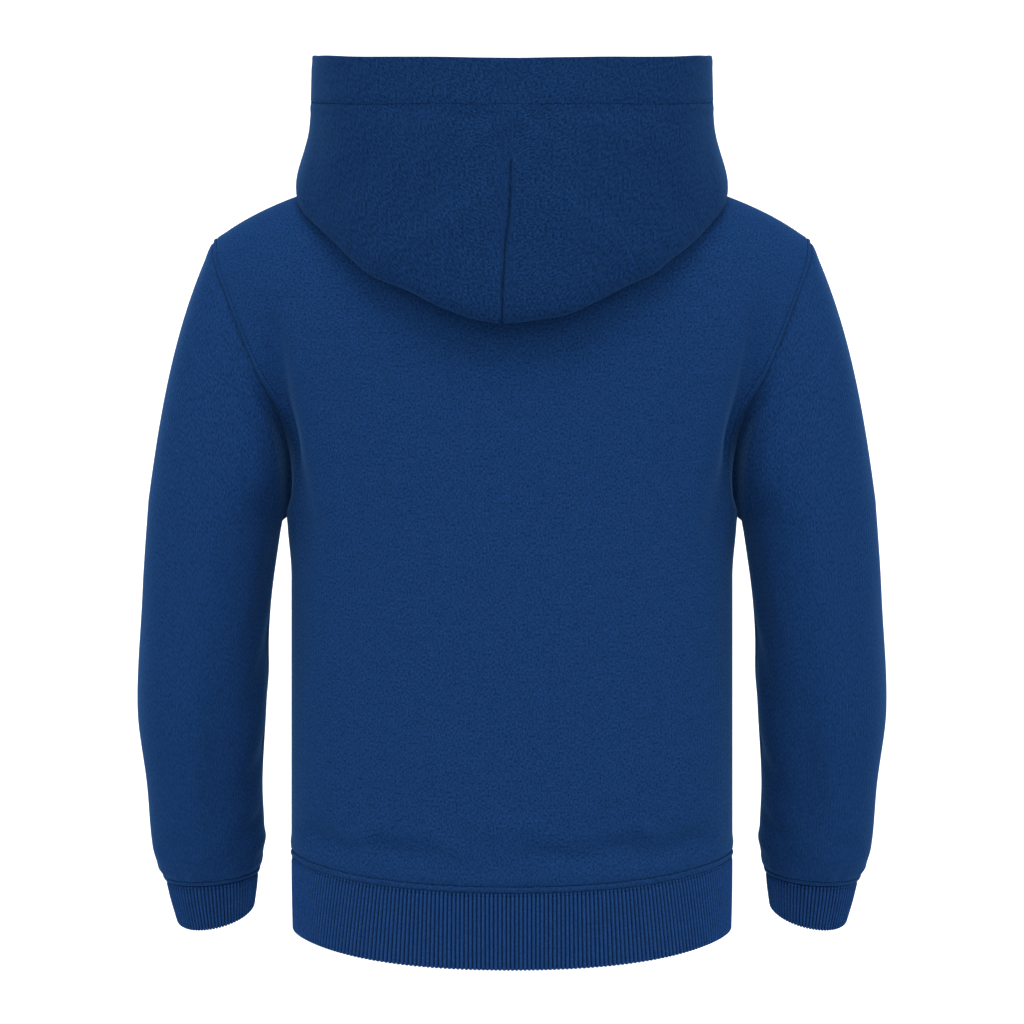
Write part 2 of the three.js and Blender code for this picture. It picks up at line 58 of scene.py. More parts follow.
SEAM_GAP = 0.06  # between two pieces that are sewn together
SHOULDER_HALF = 209.0
SHOULDER_Z = -52.0
SHOULDER_FALL = 37.5  # of the shoulder seam's straight slope
SHOULDER_ROUND = 14.5  # what its rounded end falls besides
UNDERARM_Z = -243.0
UNDERARM_HALF = 157.0
BODY_HALF = 154.0
SEAM_SIDE_Z = -480.5  # the waistband's seam, at the sides
WAISTBAND_HEIGHT = 51.5
NECK_HALF = 88.0
ROOF = 3.4  # the arch between the two shoulder seams
ROLL = 2.5  # the exponent of the curve over the shoulder
CASING = 32.0  # the hood's turned hem
CASING_WALL = 3.0
CROSSING = 4.6  # how far the hood's right end lies behind its left end
HOOD_END = 187.5  # in degrees from the middle of the back, so past the middle of the front
RIB_PITCH = 3.0
POINTS_PER_RIB = 6
SLEEVE_TOP = 240.0  # this and the next two are measured down from the neck
CUFF_SEAM = 498.5
CUFF_END = 526.0
CUFF_LENGTH = 30.0  # along the cuff's slanting face
SLEEVE_RADIUS = 42.0  # turns degrees round a sleeve into millimetres
SLEEVE_COLUMNS = 180
HOOD_ROWS = 225
FAN_RADIUS = 57.0  # turns the ribs' fan from millimetres into an angle
HEM_STITCH_END = 186  # in degrees round the neck, just short of the hood's ends
# Against the back's grid and the waistband's ribs.
FRONT_COARSER = 1.9
SLEEVE_COARSER = 1.1
CUFF_RIB_SHARE = 0.85
# From each seam to the stitches beside it.
TOPSTITCH = 3.9
COVERSTITCH = 4.3
RIB_STITCH = 2.1
SIDES = (("left", 1), ("right", -1))


def columns(names, *rows):
    """A table: one array of numbers for each named column."""
    values = np.array(rows, dtype=float)
    return {name: values[:, k] for k, name in enumerate(names.split())}


BACK = {"sign": 1, "depth": 107, "belly": 3, "neck_drop": 12, "armhole_depth": 52, "drop": 14.5}
FRONT = {"sign": -1, "depth": 96, "belly": 5, "neck_drop": 66, "armhole_depth": 48, "drop": 10}

ARMHOLE_EDGE = columns(
    "z x",
    (UNDERARM_Z, UNDERARM_HALF),
    (-240, 156.8),
    (-228, 153.7),
    (-205, 154.5),
    (-175, 161),
    (-142, 177),
    (-100, 194.5),
    (-70, 206),
    (SHOULDER_Z, SHOULDER_HALF),
)
SLEEVE_RINGS = columns(
    "down x y wide deep lean pitch",
    (SLEEVE_TOP, 207.5, 2, 47, 53, 9, 0),
    (302, 213.8, 0, 45.1, 50, 6, 3),
    (380, 218.2, -8, 45.4, 46, 2, 8),
    (432, 216.8, -18, 40.8, 42, -2, 11),
    (474, 215, -28, 39.6, 40, -3, 10),
    (488, 214, -32, 36.8, 37, -3.5, 9),
    (CUFF_SEAM, 213.2, -35, 32.9, 33, -3.8, 8.5),
)
CUFF_RINGS = columns(
    "down x y wide deep lean pitch",
    (CUFF_SEAM, 213.2, -35, 32.4, 32.8, -3.8, 8.5),
    (511, 212.3, -38.5, 30.4, 31.2, -6.5, 14),
    (CUFF_END, 211.2, -43, 27.4, 29.2, -10, 19),
)
HOOD_FOLD = columns(
    "turn x y z",
    (-16, -27, 126, -113),
    (0, 0, 127, -115.5),
    (16, 27, 126, -113),
    (30, 54, 119, -102),
    (55, 104, 92, -74),
    (75, 136, 57, -42),
    (83, 144, 40, -30),
    (90, 145.5, 12, -15),
    (105, 140, -22, -16),
    (120, 122, -51, -36),
    (150, 72, -84, -62),
    (170, 24, -95, -69),
    (180, 0, -96, -70),
)
HOOD_EDGE = columns(
    "turn x y z",
    (-16, -30, 97.5, 62.5),
    (0, 0, 98, 62),
    (16, 30, 97.5, 62.5),
    (30, 58, 95, 63.2),
    (55, 106, 79, 65.5),
    (75, 133, 44, 71),
    (90, 138, 4, 73.5),
    (120, 112, -46, 38),
    (150, 58, -88, -8),
    (168, 25, -100, -32),
    (180, 0, -102, -46),
)
HOOD_LIE = columns(
    "turn stand out half swell",
    (-16, 58, 13, 5.5, 7),
    (0, 58, 13, 5.5, 7),
    (55, 48, 13, 5, 5),
    (90, 30, 12, 4.6, -2),
    (120, 16, 12, 7, 3),
    (150, 6, 10, 5.4, 4),
    (180, 2, 8, 5.4, 4),
)
# How far the hood's back seam strays from the middle, over its height.
HOOD_SEAM = columns(
    "z x",
    (-116, 6.6),
    (-106, 6.4),
    (-92, 6.3),
    (-78, 5),
    (-62, 4.3),
    (-52, 2.8),
    (-38, 1.5),
    (-15, 0.9),
    (4, 0.6),
)

# Soft folds: each is a trough, or a ridge where `depth` is above 0, centred at (across, up), with
# its half length and half width, and its lean from upright in degrees.
BACK_FOLDS = columns(
    "x z long wide lean depth",
    (160, -162, 56, 9, 8, -9.0),
    (-161, -160, 56, 9, -8, -9.0),
    (146, -222, 44, 9, 14, -3.0),
    (-147, -220, 44, 9, -14, -2.8),
    (128, -205, 75, 12, 9, 2.0),
    (-129, -202, 75, 12, -9, 2.0),
    (112, -250, 80, 18, 4, -1.0),
    (-110, -246, 80, 18, -4, -1.0),
    (98, -318, 80, 14, 2, -1.2),
    (-62, -345, 80, 16, -6, -1.1),
    (18, -380, 60, 22, 62, -1.0),
    (124, -465, 20, 8, 80, -4.6),
    (74, -468, 20, 7, 88, -3.8),
    (-34, -470, 24, 7, 86, -3.4),
    (-74, -466, 20, 8, -86, -4.4),
    (-114, -465, 20, 8, -80, -5.0),
    (100, -457, 16, 6, -60, 1.8),
    (48, -460, 16, 6, 64, 1.8),
    (-94, -457, 16, 6, 62, 2.0),
    (5, -452, 30, 9, 86, 1.6),
    (35, -200, 60, 20, 30, -1.0),
    (-45, -240, 70, 22, -24, -0.9),
    (60, -410, 40, 14, 76, 0.9),
    (-90, -420, 44, 14, -70, 0.9),
)
FRONT_FOLDS = columns(
    "x z long wide lean depth",
    (162, -168, 62, 9, 8, -2.8),
    (-163, -166, 62, 9, -8, -3.0),
    (146, -222, 44, 9, 14, -2.6),
    (-146, -222, 44, 9, -14, -2.6),
    (127, -206, 75, 12, 9, 1.8),
    (-127, -204, 75, 12, -9, 1.8),
    (100, -320, 85, 15, -4, -1.2),
    (-74, -330, 80, 17, 5, -1.1),
    (-20, -390, 60, 22, 64, -1.0),
    (118, -465, 20, 8, 80, -4.2),
    (66, -467, 22, 7, -86, -3.4),
    (14, -470, 24, 7, 86, -3.2),
    (-52, -468, 20, 8, 84, -4.0),
    (-104, -465, 20, 8, -78, -4.6),
    (90, -459, 16, 6, 62, 1.6),
    (-78, -460, 16, 6, -62, 1.6),
    (-24, -190, 60, 20, -34, -1.0),
    (48, -236, 70, 22, 22, -0.9),
)
# On a sleeve `turn` is degrees round it, 0 on the outer side and 90 at the back.
SLEEVE_FOLDS = columns(
    "turn z long wide lean depth",
    (136, -205, 44, 12, -4, -3.4),
    (-136, -205, 44, 12, 4, -3.2),
    (112, -190, 60, 14, -4, 1.6),
    (150, -305, 46, 10, 14, -1.8),
    (128, -330, 40, 9, 20, 1.2),
    (158, -352, 40, 9, 28, -2.1),
    (112, -392, 70, 12, 7, -1.9),
    (84, -400, 70, 13, 4, 1.0),
    (160, -418, 34, 8, 46, -1.6),
    (148, -462, 22, 6, 62, -2.3),
    (166, -474, 18, 5, 70, 1.3),
    (62, -476, 20, 7, 74, -1.4),
    (96, -470, 18, 6, -68, 1.1),
    (70, -300, 70, 16, -5, -1.2),
    (20, -360, 70, 16, 6, -1.2),
    (-30, -400, 60, 14, -8, -1.2),
    (-80, -350, 60, 13, 12, -1.5),
    (-120, -330, 46, 10, -22, -1.8),
    (-150, -374, 40, 9, -30, 1.3),
    (-100, -466, 22, 7, 66, -1.8),
    (-40, -474, 20, 7, -70, -1.3),
)
HOOD_FOLDS = columns(
    "x z long wide lean depth",
    (37, 2, 30, 9, -22, -2.2),
    (62, 10, 34, 10, -30, 1.5),
    (12, 14, 26, 7, -56, 1.6),
    (-14, 14, 30, 6, 52, 1.6),
    (-30, 6, 30, 8, 44, -1.5),
    (-72, 12, 34, 12, 60, 1.4),
    (58, 27, 50, 5, 86, -1.3),
    (-58, 28, 46, 5, -86, -1.1),
    (62, -60, 46, 10, -58, 2.0),
    (-64, -58, 46, 10, 58, 2.0),
    (48, -30, 34, 12, -50, -1.7),
    (-52, -34, 34, 12, 52, -1.8),
    (-100, -20, 30, 10, 40, -1.8),
    (104, -14, 30, 10, -38, -1.8),
    (0, -66, 40, 20, 88, -1.2),
)

# ---------------------------------------------------------------- curves and grids


def smooth(value, low, high):
    """0 below low, 1 above high and a cubic step between them."""
    t = np.clip((value - low) / (high - low), 0, 1)
    return t * t * (3 - 2 * t)


def bell(value, width):
    """1 at 0, falling away evenly on both sides within about 1.5 times the width."""
    return np.exp(-((value / width) ** 2))


def mix(low, high, share):
    """The value at a share of the way from low to high."""
    return low + (high - low) * share


def along(table, at, value, key):
    """A column of a table at any value: cubic pieces, with slopes from the rows on both sides."""
    xs, ys = table[at], table[key]
    last = len(xs) - 1
    before = np.maximum(np.arange(last + 1) - 1, 0)
    after = np.minimum(np.arange(last + 1) + 1, last)
    slopes = (ys[after] - ys[before]) / (xs[after] - xs[before])
    value = np.asarray(value, dtype=float)
    i = np.clip(np.searchsorted(xs, value, side="left") - 1, 0, last - 1)
    span = xs[i + 1] - xs[i]
    t = np.clip((value - xs[i]) / span, 0, 1)
    return (
        ys[i] * (2 * t**3 - 3 * t**2 + 1)
        + ys[i + 1] * (3 * t**2 - 2 * t**3)
        + slopes[i] * span * (t**3 - 2 * t**2 + t)
        + slopes[i + 1] * span * (t**3 - t**2)
    )


def points(x, y, z):
    """Three arrays as one array of points."""
    return np.stack(np.broadcast_arrays(x, y, z), axis=-1).astype(float)


def unit(vectors):
    """The same directions, each of length 1."""
    return vectors / np.maximum(np.linalg.norm(vectors, axis=-1, keepdims=True), 1e-9)


def graded(length, coarse, fine, start, end):
    """Places from 0 to 1 along a length, `fine` apart within `start` of its beginning and `end` of
    its end and up to `coarse` apart between. Their number is odd."""
    count = 4000
    s = np.linspace(0, length, count)
    pitch = mix(fine, coarse, smooth(s, start, start + 14) if start else 1.0)
    if end:
        pitch = np.minimum(pitch, mix(fine, coarse, smooth(length - s, end, end + 14)))
    density = np.concatenate([[0], np.cumsum(1 / (pitch * np.ones(count)))[:-1]])
    steps = 2 * max(1, round(density[-1] * length / count / 2))
    return np.interp(np.linspace(0, density[-1], steps + 1), density, s / length)


def normals_of(grid, closed, side):
    """The outward direction at each point of a grid: across times up, from the points beside it."""
    up = np.empty_like(grid)
    up[1:-1] = grid[2:] - grid[:-2]
    up[0], up[-1] = grid[1] - grid[0], grid[-1] - grid[-2]
    if closed:
        across = np.roll(grid, -1, axis=1) - np.roll(grid, 1, axis=1)
    else:
        across = np.empty_like(grid)
        across[:, 1:-1] = grid[:, 2:] - grid[:, :-2]
        across[:, 0], across[:, -1] = grid[:, 1] - grid[:, 0], grid[:, -1] - grid[:, -2]
    return side * unit(np.cross(across, up))


def lengths(grid, axis):
    """How far each point of a grid or a line is along an axis, added up from its beginning."""
    step = np.linalg.norm(np.diff(grid, axis=axis), axis=-1)
    zero = np.zeros_like(np.take(step, [0], axis=axis))
    return np.concatenate([zero, np.cumsum(step, axis=axis)], axis=axis)


def dense(line, pitch=0.25):
    """The same line with points no further apart than the pitch."""
    length = lengths(line, 0)
    at = np.linspace(0, length[-1], int(length[-1] / pitch) + 2)
    return np.stack([np.interp(at, length, line[:, k]) for k in range(3)], -1)


def away_from(grid, line):
    """How far each point of a grid is from the nearest point of a line."""
    line = dense(line)
    square = (line**2).sum(1)[None]
    nearest = [
        ((block**2).sum(1)[:, None] - 2 * block @ line.T + square).min(axis=1)
        for block in np.array_split(grid.reshape(-1, 3), 60)
    ]
    return np.sqrt(np.maximum(np.concatenate(nearest), 0)).reshape(grid.shape[:2])


def fold_heights(folds, across, up):
    """The sum of soft folds: each is its depth times a bell across it and a flatter one along."""
    total = np.zeros(np.broadcast(across, up).shape)
    for x, z, long, wide, lean, depth in zip(*folds.values()):
        angle = math.radians(lean)
        dx, dz = across - x, up - z
        end = dx * math.sin(angle) + dz * math.cos(angle)
        side = dx * math.cos(angle) - dz * math.sin(angle)
        side = side + 0.12 * wide * np.sin(end / long * 2.2)
        total += depth * bell(side, wide) * np.exp(-((end / long) ** 4))
    return total


def waves(value, *parts):
    """An uneven wave: sines of the given (pitch, height, start), added up."""
    turn = 2 * np.pi * value
    return sum(height * np.sin(turn / pitch + start) for pitch, height, start in parts)


# ---------------------------------------------------------------- cloth as a mesh


def quads(grid):
    """The four corners of each cell of a grid of point numbers."""
    return np.stack([grid[:-1, :-1], grid[:-1, 1:], grid[1:, 1:], grid[1:, :-1]], -1).reshape(-1, 4)


def numbers(rows, cols, first=0):
    """A grid of point numbers, row by row."""
    return first + np.arange(rows * cols).reshape(rows, cols)


def shell(name, outer, directions, wall, closed, side, uv, step=2):
    """Cloth with two faces: the outer grid, an inner face `wall` behind it at every `step`th point,
    and rims between them. uv has one more column than a closed grid."""
    rows, cols = outer.shape[:2]
    inner = (outer - directions * np.broadcast_to(wall, (rows, cols))[..., None])[::step, ::step]
    in_rows, in_cols = inner.shape[:2]
    index = numbers(rows, cols)
    hidden = numbers(in_rows, in_cols, rows * cols)
    if closed:
        index = np.concatenate([index, index[:, :1]], axis=1)
        hidden = np.concatenate([hidden, hidden[:, :1]], axis=1)

    def rim(line, back, falling):
        """Faces between an edge of the outer grid and the same edge of the inner face."""
        pieces = [line[k : len(line) - step + k : step] for k in range(step)] + [line[step::step]]
        if falling:
            return np.stack(pieces[::-1] + [back[:-1], back[1:]], -1)
        return np.stack(pieces + [back[1:], back[:-1]], -1)

    front, rear = quads(index), quads(hidden)[:, ::-1]
    rims = [rim(index[0], hidden[0], True), rim(index[-1], hidden[-1], False)]
    if not closed:
        rims.append(rim(index[:, 0], hidden[:, 0], False))
        rims.append(rim(index[:, -1], hidden[:, -1], True))
    rims = np.concatenate(rims)
    if side < 0:
        front, rear, rims = front[:, ::-1], rear[:, ::-1], rims[:, ::-1]
    flat = np.concatenate([outer.reshape(-1, 3), inner.reshape(-1, 3)]) / 1000

    uv_of = np.zeros((len(flat), 2))
    uv_of[: rows * cols] = uv[:, :cols].reshape(-1, 2)
    uv_of[rows * cols :] = uv[::step, :cols:step].reshape(-1, 2)
    faces = [front, rear, rims]
    corners = uv_of[np.concatenate([f.reshape(-1) for f in faces])]
    if closed:
        for part, grid, first in ((front, uv, 0), (rear, uv[::step, ::step], len(front) * 4)):
            full = quads(numbers(*grid.shape[:2]))
            order = full[:, ::-1] if (side < 0) != (part is rear) else full
            corners[first : first + part.size] = grid.reshape(-1, 2)[order.reshape(-1)]
    return mesh_object(name, flat, faces, corners / 1000)


def mesh_object(name, vertices, faces, corners=None):
    """A smooth-shaded object at the origin, from arrays of faces with as many corners each."""
    loops = np.concatenate([f.reshape(-1) for f in faces])
    sizes = np.concatenate([np.full(len(f), f.shape[1]) for f in faces])
    starts = np.concatenate([[0], np.cumsum(sizes)[:-1]])
    mesh = bpy.data.meshes.new(name)
    mesh.vertices.add(len(vertices))
    mesh.vertices.foreach_set("co", np.asarray(vertices, dtype=np.float32).ravel())
    mesh.loops.add(len(loops))
    mesh.loops.foreach_set("vertex_index", loops.astype(np.int32))
    mesh.polygons.add(len(sizes))
    mesh.polygons.foreach_set("loop_start", starts.astype(np.int32))
    mesh.polygons.foreach_set("use_smooth", np.ones(len(sizes), dtype=bool))
    if corners is not None:
        layer = mesh.uv_layers.new(name="cloth")
        layer.data.foreach_set("uv", np.asarray(corners, dtype=np.float32).ravel())
    mesh.update(calc_edges=True)
    mesh.validate()
    piece = bpy.data.objects.new(name, mesh)
    bpy.context.scene.collection.objects.link(piece)
    return piece


def cloth_uv(grid, closed):
    """The cloth's own coordinates: how far each point lies across and along the piece, in mm."""
    if closed:
        grid = np.concatenate([grid, grid[:, :1]], axis=1)
    across = lengths(grid, 1).mean(axis=0)
    up = lengths(grid, 0)
    return np.stack([np.broadcast_to(across, up.shape), up], axis=-1)


# ---------------------------------------------------------------- seams


def plain_seam(d):
    """The cloth at distance d from a seam: it dips into the seam and is a little full beside it."""
    return -0.8 * bell(d, 0.9) + 0.2 * bell(d - 3.6, 2.4)


def topstitched_seam(d):
    """A seam with one line of stitches beside it: the cloth stands up between the two."""
    ridge = 0.5 * smooth(d, 0.5, 1.6) * (1 - smooth(d, 3.1, 4.3))
    return plain_seam(d) + ridge - 0.55 * bell(d - TOPSTITCH, 0.5) + 0.2 * bell(d - 6.8, 2.0)


def coverstitched_seam(d):
    """The body's side of a coverstitched seam: a raised band between the seam and the needle line,
    and full cloth beyond it."""
    ridge = 0.5 * smooth(d, 0.4, 1.3) * (1 - smooth(d, 3.6, 4.6))
    needle = 0.7 * bell(d - COVERSTITCH, 0.55)
    return -0.9 * bell(d, 0.7) + ridge - needle + 0.6 * bell(d - 9.5, 4.0)


# ---------------------------------------------------------------- the body


def armhole(turn):
    """The armhole as a loop: turn 0 at the shoulder, a quarter at the back, a half underneath."""
    z = mix(UNDERARM_Z, SHOULDER_Z, (1 + np.cos(turn)) / 2)
    depth = np.where(np.sin(turn) > 0, BACK["armhole_depth"], FRONT["armhole_depth"])
    return points(along(ARMHOLE_EDGE, "z", z, "x"), depth * np.sin(turn), z)


def seam_facing(turn):
    """The way that the armhole seam faces, for both of the pieces that it joins: up at the
    shoulder, out of the back or the front beside the body, and down underneath."""
    return unit(points(0.3 * (1 + np.cos(turn)), np.sin(turn), 0.8 * np.cos(turn)))


def roof_height(x):
    """The shoulder seam's height over x, which falls and rounds off outwards, and a low arch
    between the two seams."""
    reach = (np.abs(x) - NECK_HALF) / (SHOULDER_HALF - NECK_HALF)
    slope = -SHOULDER_FALL * reach - SHOULDER_ROUND * np.maximum(reach, 0) ** 4
    return np.where(reach > 0, slope, ROOF * (1 - (x / NECK_HALF) ** 2))


def top_height(panel, x):
    """A panel's upper edge: the shoulder seam, and the neckline between."""
    share = np.clip(1 - (x / NECK_HALF) ** 2, 0, 1)
    return np.where(np.abs(x) >= NECK_HALF, roof_height(x), -panel["neck_drop"] * share**0.75)


def roll_share(x, z):
    """How much of its depth a panel has left at a height: a superellipse over the shoulder."""
    share = np.clip((z - UNDERARM_Z) / (roof_height(x) - UNDERARM_Z), 0, 1)
    return (1 - share**ROLL) ** (1 / ROLL)


def hem_curve(middle):
    """The share of its drop that the hem has reached, from 0 at the side to 1 in the middle."""
    return middle**1.8 * (1.3 - 0.3 * middle**3)


def body_points(panel, across, height):
    """A panel's outer face. across is -1 to 1 between the seams, height 0 at the waistband, 1 at
    the underarm and 2 at the shoulder. Below the underarm each row is half an ellipse; above it, an
    arc of one that ends on the armhole."""
    low = height <= 1
    angle = across * np.pi / 2
    middle = np.maximum(np.cos(angle), 0)
    flare = (UNDERARM_HALF - BODY_HALF) * np.sin(angle) ** 25
    x_low = BODY_HALF * np.sin(angle) + flare * smooth(height, 0.82, 1)
    hang = panel["drop"] * (1 - smooth(height, 0, 0.75)) * hem_curve(middle)
    depth = panel["depth"] + panel["belly"] * np.sin(np.pi * np.clip(height, 0, 1)) * middle
    z_low = mix(SEAM_SIDE_Z, UNDERARM_Z, height) - hang

    turn = np.pi * (2 - np.clip(height, 1, 2))
    seam = armhole(panel["sign"] * turn)
    seam_depth = panel["depth"] * roll_share(seam[..., 0], seam[..., 2])
    ratio = np.clip(np.abs(seam[..., 1]) / np.maximum(seam_depth, 1e-6), 0, 1)
    end = np.where(seam_depth > 1e-6, np.arccos(ratio), np.pi / 2)
    # The body widens above the underarm. Away from the seam that starts softly.
    rise = (1 + np.cos(turn)) / 2
    below = (height - 1) * (UNDERARM_Z - SEAM_SIDE_Z)
    above = np.where(low, below, (SHOULDER_Z - UNDERARM_Z) * rise)
    soft = 0.037 * np.maximum(1 - np.abs(above) / 30, 0) ** 2
    soft = soft * (1 - smooth(np.abs(across), 0.86, 1))
    widening = np.where(low, 0, np.cos(end) ** 2) + soft
    arc = np.sqrt(middle**2 + np.sin(angle) ** 2 * widening)
    y_low = panel["sign"] * depth * arc
    half = mix(BODY_HALF, seam[..., 0], smooth(seam[..., 2], UNDERARM_Z, UNDERARM_Z + 28))
    x_high = half * np.sin(angle) + (seam[..., 0] - half) * np.sin(angle) ** 25
    top_x = SHOULDER_HALF * np.sin(angle)
    z_high = mix(UNDERARM_Z, top_height(panel, top_x), rise)
    y_high = panel["sign"] * panel["depth"] * arc * roll_share(top_x, z_high)
    return points(
        np.where(low, x_low, x_high), np.where(low, y_low, y_high), np.where(low, z_low, z_high)
    )


def underarm_sink(grid, distance, wide, crease):
    """How far the cloth beside the armhole is drawn inwards where body and sleeve press together:
    a roll as wide as `wide` that ends in a crease."""
    deep = 0.72 * smooth(-grid[..., 2], 138, 206) ** 1.2
    roll = 0.5 * np.maximum(1 - distance / wide, 0) ** 1.8
    return grid[..., 1] * deep * (roll + 0.5 * np.exp(-((distance / crease) ** 4)))


def body_panel(name, panel, folds, coarse, wall):
    """A body panel with its seams and folds; also what the stitches need to follow it."""
    half = graded(210, coarse, 0.55, 0, 9)
    across = np.concatenate([-half[:0:-1], half])
    low = graded(238, coarse, 0.55, 12, 0)
    high = graded(205, coarse, 0.7, 0, 4)
    height = np.concatenate([low, 1 + high[1:]])
    grid = body_points(panel, across[None, :], height[:, None])
    sign = panel["sign"]
    side = -sign
    grid[..., 1] = sign * np.maximum(np.abs(grid[..., 1]), SEAM_GAP / 2)
    grid[0, :, 2] += SEAM_GAP / 2
    directions = normals_of(grid, False, side)
    level = np.broadcast_to(height[:, None], grid.shape[:2])
    over = np.broadcast_to(across[None, :], grid.shape[:2])
    shoulder = np.abs(grid[..., 0]) > NECK_HALF - 1
    right, left = away_from(grid, grid[:, 0]), away_from(grid, grid[:, -1])
    d_row = np.where(over < 0, right, 1000 - left)
    d_side = np.minimum(right, left)
    d_up = lengths(grid, 0)
    d_top = d_up[-1:] - d_up
    upper = smooth(level, 0.97, 1)
    relief = mix(plain_seam(d_side), topstitched_seam(d_side), upper)
    relief += coverstitched_seam(d_up) * smooth(d_side, 0, 3)
    relief += plain_seam(d_top)
    clear = smooth(d_side, 1, 7) * smooth(d_up, 4, 9)
    relief += fold_heights(folds, grid[..., 0], grid[..., 2]) * clear
    # On a seam's edge the wall points straight across the seam, so that two pieces never meet.
    onto_side = 1 - smooth(d_side, 0, 2)
    flat = directions.copy()
    flat[..., 1] *= 1 - onto_side * (level <= 1)
    flat[..., 1] *= 1 - (1 - smooth(d_top, 0, 2)) * shoulder
    flat[0, :, 2] = 0
    flat = unit(flat)
    facing = seam_facing(sign * np.pi * (2 - np.clip(level, 1, 2)))
    facing[..., 0] *= np.sign(over)
    at_seam = ((1 - smooth(d_side, 0, 3)) * (level > 1))[..., None]
    flat = unit(flat * (1 - at_seam) + facing * at_seam)
    outer = grid + flat * relief[..., None]
    wide = mix(26, 6, smooth(-grid[..., 2], 165, 224))
    outer[..., 1] -= underarm_sink(grid, d_side, wide, 3.2) * upper
    outer[..., 1] = sign * np.maximum(np.abs(outer[..., 1]), SEAM_GAP / 2)
    piece = shell(name, outer, flat, wall, False, side, cloth_uv(grid, False))
    return piece, {"outer": outer, "normals": flat, "d_row": d_row, "d_up": d_up, "height": height}


# ---------------------------------------------------------------- sleeves


def oval_points(rings, z, turn):
    """A point of the oval at height z: outwards times its half width and backwards times its half
    depth, with its outer side raised by `lean` and its back lowered by `pitch`."""
    value = {key: along(rings, "down", -z, key) for key in rings if key != "down"}
    lean, pitch = np.radians(value["lean"]), np.radians(value["pitch"])
    outwards, backwards = value["wide"] * np.cos(turn), value["deep"] * np.sin(turn)
    return points(
        value["x"] + outwards * np.cos(lean),
        value["y"] + backwards * np.cos(pitch),
        z + outwards * np.sin(lean) - backwards * np.sin(pitch),
    )


def bezier(a, b, c, d, t):
    """A cubic Bezier curve at t."""
    t = t[..., None]
    return a * (1 - t) ** 3 + 3 * b * t * (1 - t) ** 2 + 3 * c * t**2 * (1 - t) + d * t**3


def sleeve_head(turn, share):
    """Between the armhole and the first oval: a curve that leaves the armhole outwards and
    downwards and arrives along the arm."""
    start = armhole(turn)
    end = oval_points(SLEEVE_RINGS, np.full_like(turn, -SLEEVE_TOP), turn)
    under = (1 - np.cos(turn)) / 2
    leave = points(mix(0.42, 0.2, under), 0.18 * np.sin(turn), -mix(0.9, 0.97, under))
    arrive = np.array([0.13, 0, -0.99])
    reach = 0.34 * np.linalg.norm(end - start, axis=-1, keepdims=True)
    return bezier(start, start + leave * reach, end - arrive * reach, end, share)


def sleeve_piece(name, side, cols, coarse, wall):
    """A sleeve with its seams, folds and the gathers at the cuff."""
    turn = 2 * np.pi * np.arange(cols) / cols
    share = graded(190, coarse, 0.6, 7, 0)[:-1]
    down = graded(CUFF_SEAM - SLEEVE_TOP, coarse, 0.55, 0, 12)
    t_head, s_head = np.broadcast_arrays(turn[None, :], share[:, None])
    z_down = mix(-SLEEVE_TOP, -CUFF_SEAM, down)
    t_low, z_low = np.broadcast_arrays(turn[None, :], z_down[:, None])
    grid = np.concatenate([sleeve_head(t_head, s_head), oval_points(SLEEVE_RINGS, z_low, t_low)])
    if len(grid) % 2 == 0:
        grid = np.delete(grid, len(share) // 2, axis=0)
    directions = normals_of(grid, True, -1)
    away = unit(grid[1] - grid[0])
    grid[0] += away * SEAM_GAP
    grid[-1, :, 2] += SEAM_GAP / 2
    d_up = lengths(grid, 0)
    d_cuff = d_up[-1:] - d_up
    degrees = np.degrees(turn)[None, :] * np.ones((len(grid), 1))
    degrees = np.where(degrees > 180, degrees - 360, degrees)
    folds = {**SLEEVE_FOLDS, "turn": np.radians(SLEEVE_FOLDS["turn"]) * SLEEVE_RADIUS}
    d_seam = away_from(grid, armhole(np.radians(np.arange(721) / 2)))
    at_seam = (1 - smooth(d_seam, 0, 3))[..., None]
    directions = unit(directions * (1 - at_seam) + seam_facing(turn)[None] * at_seam)
    relief = plain_seam(d_seam) + 0.35 * bell(d_seam - 7, 4)
    relief += coverstitched_seam(d_cuff)
    around = np.radians(degrees) * SLEEVE_RADIUS
    relief += fold_heights(folds, around, grid[..., 2]) * smooth(d_cuff, 4, 12)
    gathers = waves(degrees, (24, 0.32, 0.4), (40, 0.28, 1.9), (15, 0.14, 3.1))
    relief += gathers * bell(d_cuff - 9, 7) * smooth(d_cuff, 3, 7)
    outer = grid + directions * relief[..., None]
    outer[..., 1] -= underarm_sink(grid, d_seam, 25.0, 7.0)
    uv = cloth_uv(grid, True)
    outer[..., 0] *= side
    flipped = directions.copy()
    flipped[..., 0] *= side
    piece = shell(name, outer, flipped, wall, True, -side, uv)
    return piece, {"outer": outer, "normals": flipped, "d_cuff": d_cuff}


# ---------------------------------------------------------------- ribbed bands


def even_angles(half, back, front, count):
    """Angles that part an oval with different back and front depths into equal lengths."""
    angle = np.linspace(0, 2 * np.pi, 5761)
    depth = np.where(np.sin(angle) > 0, back, front)
    line = np.stack([half * np.cos(angle), depth * np.sin(angle)], -1)
    length = lengths(line, 0)
    return np.interp(np.arange(count) / count * length[-1], length, angle)


def waistband_points(level, turn):
    """The band's outer face between its ribs. It draws in a little towards its lower edge."""
    back = np.sin(turn) > 0
    depth = np.where(back, BACK["depth"], FRONT["depth"])
    drop = np.where(back, BACK["drop"], FRONT["drop"])
    hug = 0.4 + 0.8 * level**2
    height = SEAM_SIDE_Z - SEAM_GAP / 2 - WAISTBAND_HEIGHT * level
    height = height - drop * hem_curve(np.abs(np.sin(turn)))
    return points((BODY_HALF - hug) * np.cos(turn), (depth - hug) * np.sin(turn), height)


